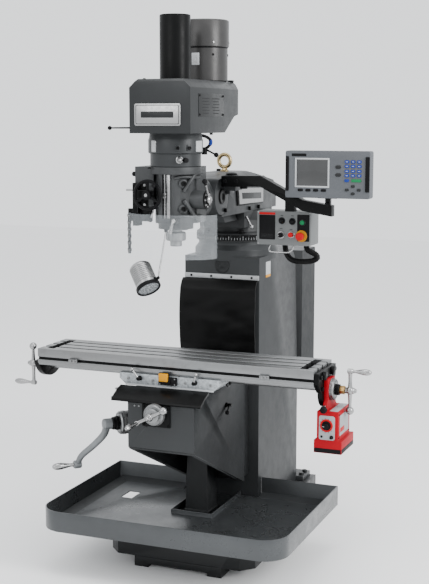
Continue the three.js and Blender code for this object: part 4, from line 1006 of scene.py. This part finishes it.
# ---------- head ----------
def build_head_cover():
    finishes = (PAINT_HEAD, SILVER, PAINT_DARK, BLACK_PLASTIC, CHROME, WHITE_PLASTIC)
    cover = Piece("belt_housing", "head", *finishes, slot="grey_paint")
    cover.add(refined("head_cover", 4, 3))
    cover.add(slab(corners(-110, 94, 1936, 2025, 8), -683, -676.5, 1.6, 3, plane="XZ"), 1)
    for inset, finish, depth in ((6, 2, -683.5), (8.5, 1, -683.9)):
        cover.add(slab(corners(-110 + inset, 94 - inset, 1936 + inset, 2025 - inset, 5), depth, -682, 0.2,
            plane="XZ"), finish)
    cover.add(slab(corners(-80, 64, 1968, 1993, 3), -684.6, -683, 0.4, plane="XZ"), 2)
    cover.add(block((134.5, -594, 1972), (137, -319, 2066), 0.6), 2)
    for row, z in enumerate((2046, 2034, 2022, 2010, 1998, 1986)):
        for y0, y1 in ((-560, -480), (-450, -372)):
            cover.add(block((136.8, y0 + 6 * (row % 3), z - 1.6), (137.4, y1 - 9 * (row % 2), z + 1.6), 0), 3)
    cover.bolts([(137, y, z) for y in (-584, -329) for z in (1980, 2058)], X, 5, 2.5, 3)
    cover.add(block((80, -140, 2121), (104, -116, 2131), 3), 3)
    cover.bolts([(x, y, 2123) for x in (-84, 84) for y in (-640, -330)], Z, 6, 4, 3)
    cover.bolts([(116, -412, 1906)], -Z, 7, 9, 3, hex_bolt)
    cover.add(turned([(0, 0), (13, 0), (13, 5), (9, 8), (0, 8)], 28), 3, along((-134.5, -600, 1927), -X))
    cover.ball_lever((-138, -600, 1927), (-264, -600, 1926), 4, 9, 3, 3)
    cover.done("head_cover")
    Piece("drawbar_sleeve", "head", BLACK_PAINT, slot="black_paint").add(
        turned([(34, 2123.4), (62, 2123.4), (64, 2126), (64, 2381), (62, 2385), (59, 2386), (0, 2386),
            (0, 2381), (34, 2381), (34, 2123.4)], 64),
        0, Matrix.Translation((0, -519, 0)),
    ).done("drawbar_cover")


def build_motor():
    motor = Piece("drive_motor", "head", PAINT_MOTOR, WHITE_PLASTIC, BLACK_PLASTIC, SILVER, slot="grey_paint")
    profile = [(0, 2123.4), (97, 2123.4), (101, 2127), (101, 2266), (101, 2270), (105, 2270), (107, 2272),
        (107, 2379), (104, 2384), (98, 2386), (0, 2386)]
    centre = Matrix.Translation((0, -205, 0))
    motor.add(turned(profile, 72), 0, centre)
    motor.add(turned([(98, 2264), (101.6, 2264), (101.6, 2269.6), (98, 2269.6), (98, 2264)], 72), 2, centre)
    motor.add(block((-17, -307.6, 2192), (17, -303, 2243), 0.5), 1)
    for z in (2230, 2222, 2214, 2204):
        motor.add(block((-12, -308, z - 1.4), (9, -307.4, z + 1.4), 0), 3)
    for angle in (-46, 20, 100, 180):
        place = centre @ Matrix.Rotation(math.radians(angle), 4, "Z")
        motor.add(socket_bolt(5, 3), 2, place @ along((100.6, 0, 2236), X))
        motor.add(socket_bolt(4, 2.4), 3, place @ along((106.6, 0, 2288), X))
    motor.done("motor")


def build_neck():
    finishes = (PAINT_LIGHT, BLACK_PLASTIC, CHROME, WHITE_PLASTIC, BLUE_KEY, SILVER)
    neck = Piece("head_neck", "head", *finishes, slot="grey_paint")
    wall = [(60, 1767.5), (103, 1767.5), (106, 1770), (106, 1820), (112, 1823), (114, 1826), (114, 1878),
        (111, 1884), (108, 1905), (60, 1905), (60, 1767.5)]
    centre = Matrix.Translation((0, -519, 0))
    neck.add(turned(wall, 72), 0, centre)

    def around(angle, z, radius):
        return centre @ Matrix.Rotation(math.radians(angle), 4, "Z") @ along((radius, 0, z), X)

    for angle in (-62, -38):
        neck.add(block((-9, -13, -2), (9, 13, 5), 2), 0, around(angle, 1846, 113))
        neck.add(socket_bolt(7.5, 7), 1, around(angle, 1846, 117))
    for k in range(8):
        neck.add(hex_bolt(7, 6), 5, centre @ Matrix.Rotation(math.tau * (k + 0.5) / 8, 4,
            "Z") @ Matrix.Translation((98, 0, 1771)) @ Matrix.Diagonal((1, 1, 0.01, 1)))
    neck.add(turned([(0, 0), (15, 0), (15, 6), (11, 9), (9, 18), (0, 18)], 28), 2, around(-58, 1798, 105))
    neck.add(orb(8, 20), 2, around(-58, 1798, 124))
    neck.add(turned([(0, 0), (10, 0), (10, 12), (0, 13)], 24), 1, around(-44, 1796, 106))
    neck.add(slab(corners(-15, 15, -24, 24, 4), -3, 2.5, 0.6), 2, around(-118, 1852, 112.4))
    neck.add(slab(corners(-11, 11, -20, 20, 3), 1, 3.2, 0.4), 3, around(-118, 1852, 112.4))
    neck.add(slab(corners(-23, 23, -22, 22, 2), -1, 1.5, 0.3), 3, around(-8, 1852, 112.8))
    hose = smooth_path([(60, -452, 1896), (84, -420, 1893), (104, -402, 1880), (108, -398, 1862),
        (96, -400, 1846), (84, -404, 1838)], 8)
    neck.add(tube(hose, 6.5, 14), 1)
    neck.add(tube(hose[18:28], 8, 14), 4)
    neck.add(turned([(0, -16), (12, -16), (12, 12), (9, 15), (0, 15)], 24), 1,
        Matrix.Translation((82, -404, 1830)))
    neck.ball_lever((84, -404, 1838), (134, -400, 1813), 4.5, 10.5, 1, 1)
    neck.done("neck")


def build_quill_housing():
    finishes = (CAST_HEAD, BLACK_PAINT, CHROME, BLACK_PLASTIC, SILVER, KNURL, WHITE_PLASTIC)
    house = Piece("quill_casting", "head", *finishes, slot="dark_paint")
    house.add(refined("quill_housing", 3, 3))
    for angle, z in ((-46, 1700), (-46, 1596)):
        place = Matrix.Translation((0, -519, 0)) @ Matrix.Rotation(math.radians(angle), 4,
            "Z") @ along((82, 0, z), X)
        house.add(turned([(0, 0), (20, 0), (20, 8), (17, 12), (0, 12)], 32), 0, place)
        house.add(socket_bolt(11, 8), 1, place @ Matrix.Translation((0, 0, 12)))
    for z, reach in ((1668, 1740), (1632, 1560)):
        rib = smooth_path([(66, -585, z), (84, -568, (z + reach) / 2), (96, -535, reach), (98, -480, reach)],
            6)
        house.add(tube(rib, 9, 14), 0)
    for z in (1722, 1560):
        house.add(tube(smooth_path([(30, -600, z), (60, -588, z + 6), (88, -556, z + 4), (99, -500, z)], 6),
            7, 12), 0)
    # black strip behind the depth-stop rod: painted shade of the slot
    house.add(block((-17.5, -607, 1556.5), (1.5, -605.4, 1739.5), 0), 3)
    house.add(tube([(-8, -612, 1557), (-8, -612, 1739)], 4.2, 18), 2)
    for z in (1640, 1652):
        house.add(disc(9, 0, 9, 1, 28), 5, Matrix.Translation((-8, -613, z)))
    house.add(block((3, -618.6, 1558), (17, -616.5, 1738), 0.4), 4)
    for k in range(30):
        house.add(block((3.6, -619, 1563 + k * 6 - 0.4), (9 if k % 5 else 14, -618.5, 1563 + k * 6 + 0.4),
            0), 3)
    house.add(block((-33, -620, 1738), (18, -600, 1754), 3), 1)
    ring = [(18, 0), (38, 0), (39.5, 2), (39.5, 5), (37, 6.5), (18, 6.5), (18, 0)]
    house.add(turned(ring, 48), 1, along((137.6, -519, 1632), X))
    for k in range(8):
        place = along((143.6, -519, 1632), X) @ Matrix.Rotation(math.tau * k / 8, 4,
            "Z") @ Matrix.Translation((29, 0, 0))
        house.add(socket_bolt(4, 2.5), 2, place)
    house.add(tube(smooth_path([(38, -626, 1548), (38, -636, 1546), (36, -640, 1534), (32, -642, 1516),
        (27, -642, 1497)], 6), [5 + 0.08 * k for k in range(25)], 16), 2)
    house.add(orb(10, 24), 2, Matrix.Translation((38, -630, 1549)))
    house.ball_lever((-58, -606, 1604), (-69, -624, 1550), 4, 10, 2, 3)
    house.ball_lever((-100, -560, 1736), (-172, -560, 1735), 4, 10.5, 2, 3)
    house.add(tube([(-150, -600, 1670), (-190, -600, 1670)], 4.5, 16), 2)
    house.add(block((-157, -613, 1523), (-131, -569, 1701), 4, 3), 1)
    house.add(block((-156.6, -612.8, 1635), (-58, -586, 1671), 4, 3), 1)
    house.add(block((-156.5, -589.5, 1589), (-92, -470, 1702), 5, 3), 1)
    house.add(block((-190.5, -587, 1539), (-149, -573, 1592), 3), 1)
    house.add(block((-157, -587, 1539), (-87.5, -559, 1592), 4), 1)
    house.add(disc(GUARD_BAR, 1402, 1586, 1, 20), 1, Matrix.Translation((-184, -586, 0)))
    house.bolts([(-110, -589.5, z) for z in (1610, 1690)], FRONT, 6, 4, 2)
    house.bolts([(-80, -606, 1760), (80, -560, 1767)], Z, 8, 6, 1)
    house.done("quill_housing")



def build_handwheel():
    wheel = Piece("fine_feed_wheel", "feed_handwheel", BLACK_PLASTIC, CHROME, slot="black_plastic")
    centre = Vector((-74, -640, 1653))
    rim = [centre + Vector((58 * math.cos(a), 0, 58 * math.sin(a)))
           for a in (math.tau * k / 56 for k in range(56))]
    wheel.add(tube(rim, 7, 16, closed=True))
    wheel.add(turned([(0, -26), (15, -26), (15, 8), (19, 10), (19, 15), (12, 17), (0, 17)], 32), 0,
        along(centre, FRONT))
    wheel.add(disc(7, 16, 20, 1, 20), 1, along(centre, FRONT))
    for k in range(3):
        angle = math.pi / 2 + k * math.tau / 3
        tip = centre + Vector((55 * math.cos(angle), 0, 55 * math.sin(angle)))
        wheel.add(tube([centre, centre.lerp(tip, 0.5), tip], [7.5, 5.5, 7], 14))
    wheel.add(grip(34, 9), 0, along(centre + Vector((41, -4, 41)), FRONT))
    wheel.done("feed_handwheel")


def build_quill():
    quill = Piece("quill_sleeve", "quill", STEEL_ROUND, slot="machined_steel")
    wall = [(26, 1503), (50, 1503), (52, 1505), (52, 1790), (26, 1790), (26, 1503)]
    quill.add(turned(wall, 64), 0, Matrix.Translation((0, -519, 0))).done("quill")
    spindle = Piece("spindle_nose", "spindle", STEEL_ROUND, SILVER, BLACK_PAINT, slot="machined_steel")
    profile = [(16, 1434), (23, 1434), (25, 1436), (25, 1457), (39, 1458), (41, 1460), (41, 1490),
        (38, 1494), (25.6, 1496), (25.6, 2112), (10, 2112), (10, 1530), (16, 1434)]
    spindle.add(turned(profile, 56), 0, Matrix.Translation((0, -519, 0)))
    for k in range(2):
        key = block((36, -6, 1462), (41.6, 6, 1488), 1)
        spindle.add(key, 2, Matrix.Translation((0, -519, 0)) @ Matrix.Rotation(math.pi * k + 0.5, 4, "Z"))
    spindle.done("spindle")
    handle = Piece("quill_feed_lever", "quill_lever", CHROME, BLACK_PLASTIC, slot="chrome_parts")
    handle.add(turned([(0, 0.6), (16, 0.6), (17, 2), (17, 17), (13, 21), (0, 22)], 32), 0,
        along((138, -519, 1632), X))
    tip = Vector((160, -579, 1698))
    handle.add(tube([Vector((150, -519, 1632)), Vector((155, -549, 1665)), tip], [6, 5, 5], 16), 0)
    handle.add(grip(27, 11), 1, along(tip, (6, -60, 66))).done("quill_lever")


def build_guard():
    guard = Piece("chip_guard", "guard", CLEAR, BLACK_PLASTIC, SILVER, slot="clear_plastic")
    outer, inner = [], []
    for k in range(49):
        angle = math.pi * (1 + k / 48)
        outer.append((20 + 198 * math.cos(angle), -596 + 112 * math.sin(angle)))
        inner.append((20 + 194 * math.cos(angle), -596 + 108 * math.sin(angle)))
    guard.add(slab(outer + inner[::-1], 1398, 1578, 0.8, 1))
    guard.add(block((-182, -606, 1404), (-173, -593, 1568), 1.5), 1)
    for k in range(6):
        z = 1412 + k * 29
        guard.add(turned([(5.4, 0), (8.5, 0), (8.5, 12), (5.4, 12), (5.4, 0)], 24), 1,
            Matrix.Translation((-184, -586, z)))
        guard.add(block((-184, -600, z + 1), (-176, -590, z + 11), 1), 1)
        guard.bolts([(-177.5, -606, z + 6)], FRONT, 3, 2, 2)
    guard.done("guard_shield")


LAMP_REAR, LAMP_LENS = Vector((-110.2, -655, 1366)), Vector((-41.3, -701, 1272))


def lamp_place():
    """The lamp's own frame: Z from its rear to its lens, X towards the pivot."""
    way = (LAMP_LENS - LAMP_REAR).normalized()
    side = way.cross(Y).normalized()
    turn = Matrix((side, way.cross(side), way)).transposed().to_4x4()
    return Matrix.Translation(LAMP_REAR) @ turn


def build_lamp():
    place = lamp_place()
    pivot = place @ Vector((60.4, 0, 108))
    lamp = Piece("work_lamp", "lamp", SILVER, BLACK_PLASTIC, LAMP_GLASS, STEEL_ROUND, slot="silver_metal")
    fins = [(0, 4), (32, 4), (36, 6), (44, 13), (46, 18)]
    for k in range(9):
        at = 24 + k * 8.5
        fins += [(46, at), (43.4, at + 0.6), (43.4, at + 3), (46, at + 3.6)]
    fins += [(46, 103), (46, 112), (0, 112)]
    lamp.add(turned(fins, 64), 0, place)
    lamp.add(turned([(44, 109), (51, 110), (52, 112), (52, 124), (50, 126.4), (46.5, 126.4), (44, 122),
        (44, 109)], 64), 1, place)
    for k in range(24):
        lamp.add(block((50, -2, 111.5), (52, 2, 124.5), 0.6), 1,
            place @ Matrix.Rotation(math.tau * k / 24, 4, "Z"))
    lamp.add(turned([(0, 118), (44.4, 118), (44.4, 120.5), (20, 122.4), (0, 123)], 48), 2, place)
    stripe = place @ Matrix.Rotation(math.radians(215), 4, "Z")
    for low, high, wide in ((20, 60, 10), (56, 84, 14), (80, 110, 18)):
        lamp.add(block((44, -wide, low), (46.8, wide, high), 1), 1, stripe)
    lamp.add(block((44.5, -9, 98), (53, 9, 118), 2), 1, place)
    lamp.done("lamp")
    rod = Piece("lamp_stem", "head", SILVER, BLACK_PLASTIC, slot="silver_metal")
    rod.add(tube([Vector((-15, -586, 1506.5)).lerp(pivot, k / 6) for k in range(7)], 3.4, 14))
    rod.add(orb(6.8, 20), 1, Matrix.Translation(pivot))
    rod.add(disc(8, 0, 12, 1.5, 24), 1, along((-15, -584, 1509), (0, -0.55, -0.84))).done("lamp_rod")


def repaint(node, finish):
    """Gives a node whose shape is right its finished surface."""
    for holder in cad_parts[node].material_slots:
        holder.material = finish.material


build_base()
build_tray()
build_column()
build_cabinet()
build_apron()
build_knee()
build_knee_crank()
build_cross_feed()
build_saddle()
build_table()
build_power_feed()
build_table_screw()
build_turret()
build_ram()
build_arm()
build_readout()
build_control_box()
build_head_cover()
build_motor()
build_neck()
build_quill_housing()
build_handwheel()
build_quill()
build_guard()
build_lamp()
repaint("elevating_screw", STEEL_ROUND)
repaint("spindle_pulley", STEEL_ROUND)
repaint("motor_pulley", STEEL_ROUND)
repaint("drive_belt", RUBBER)
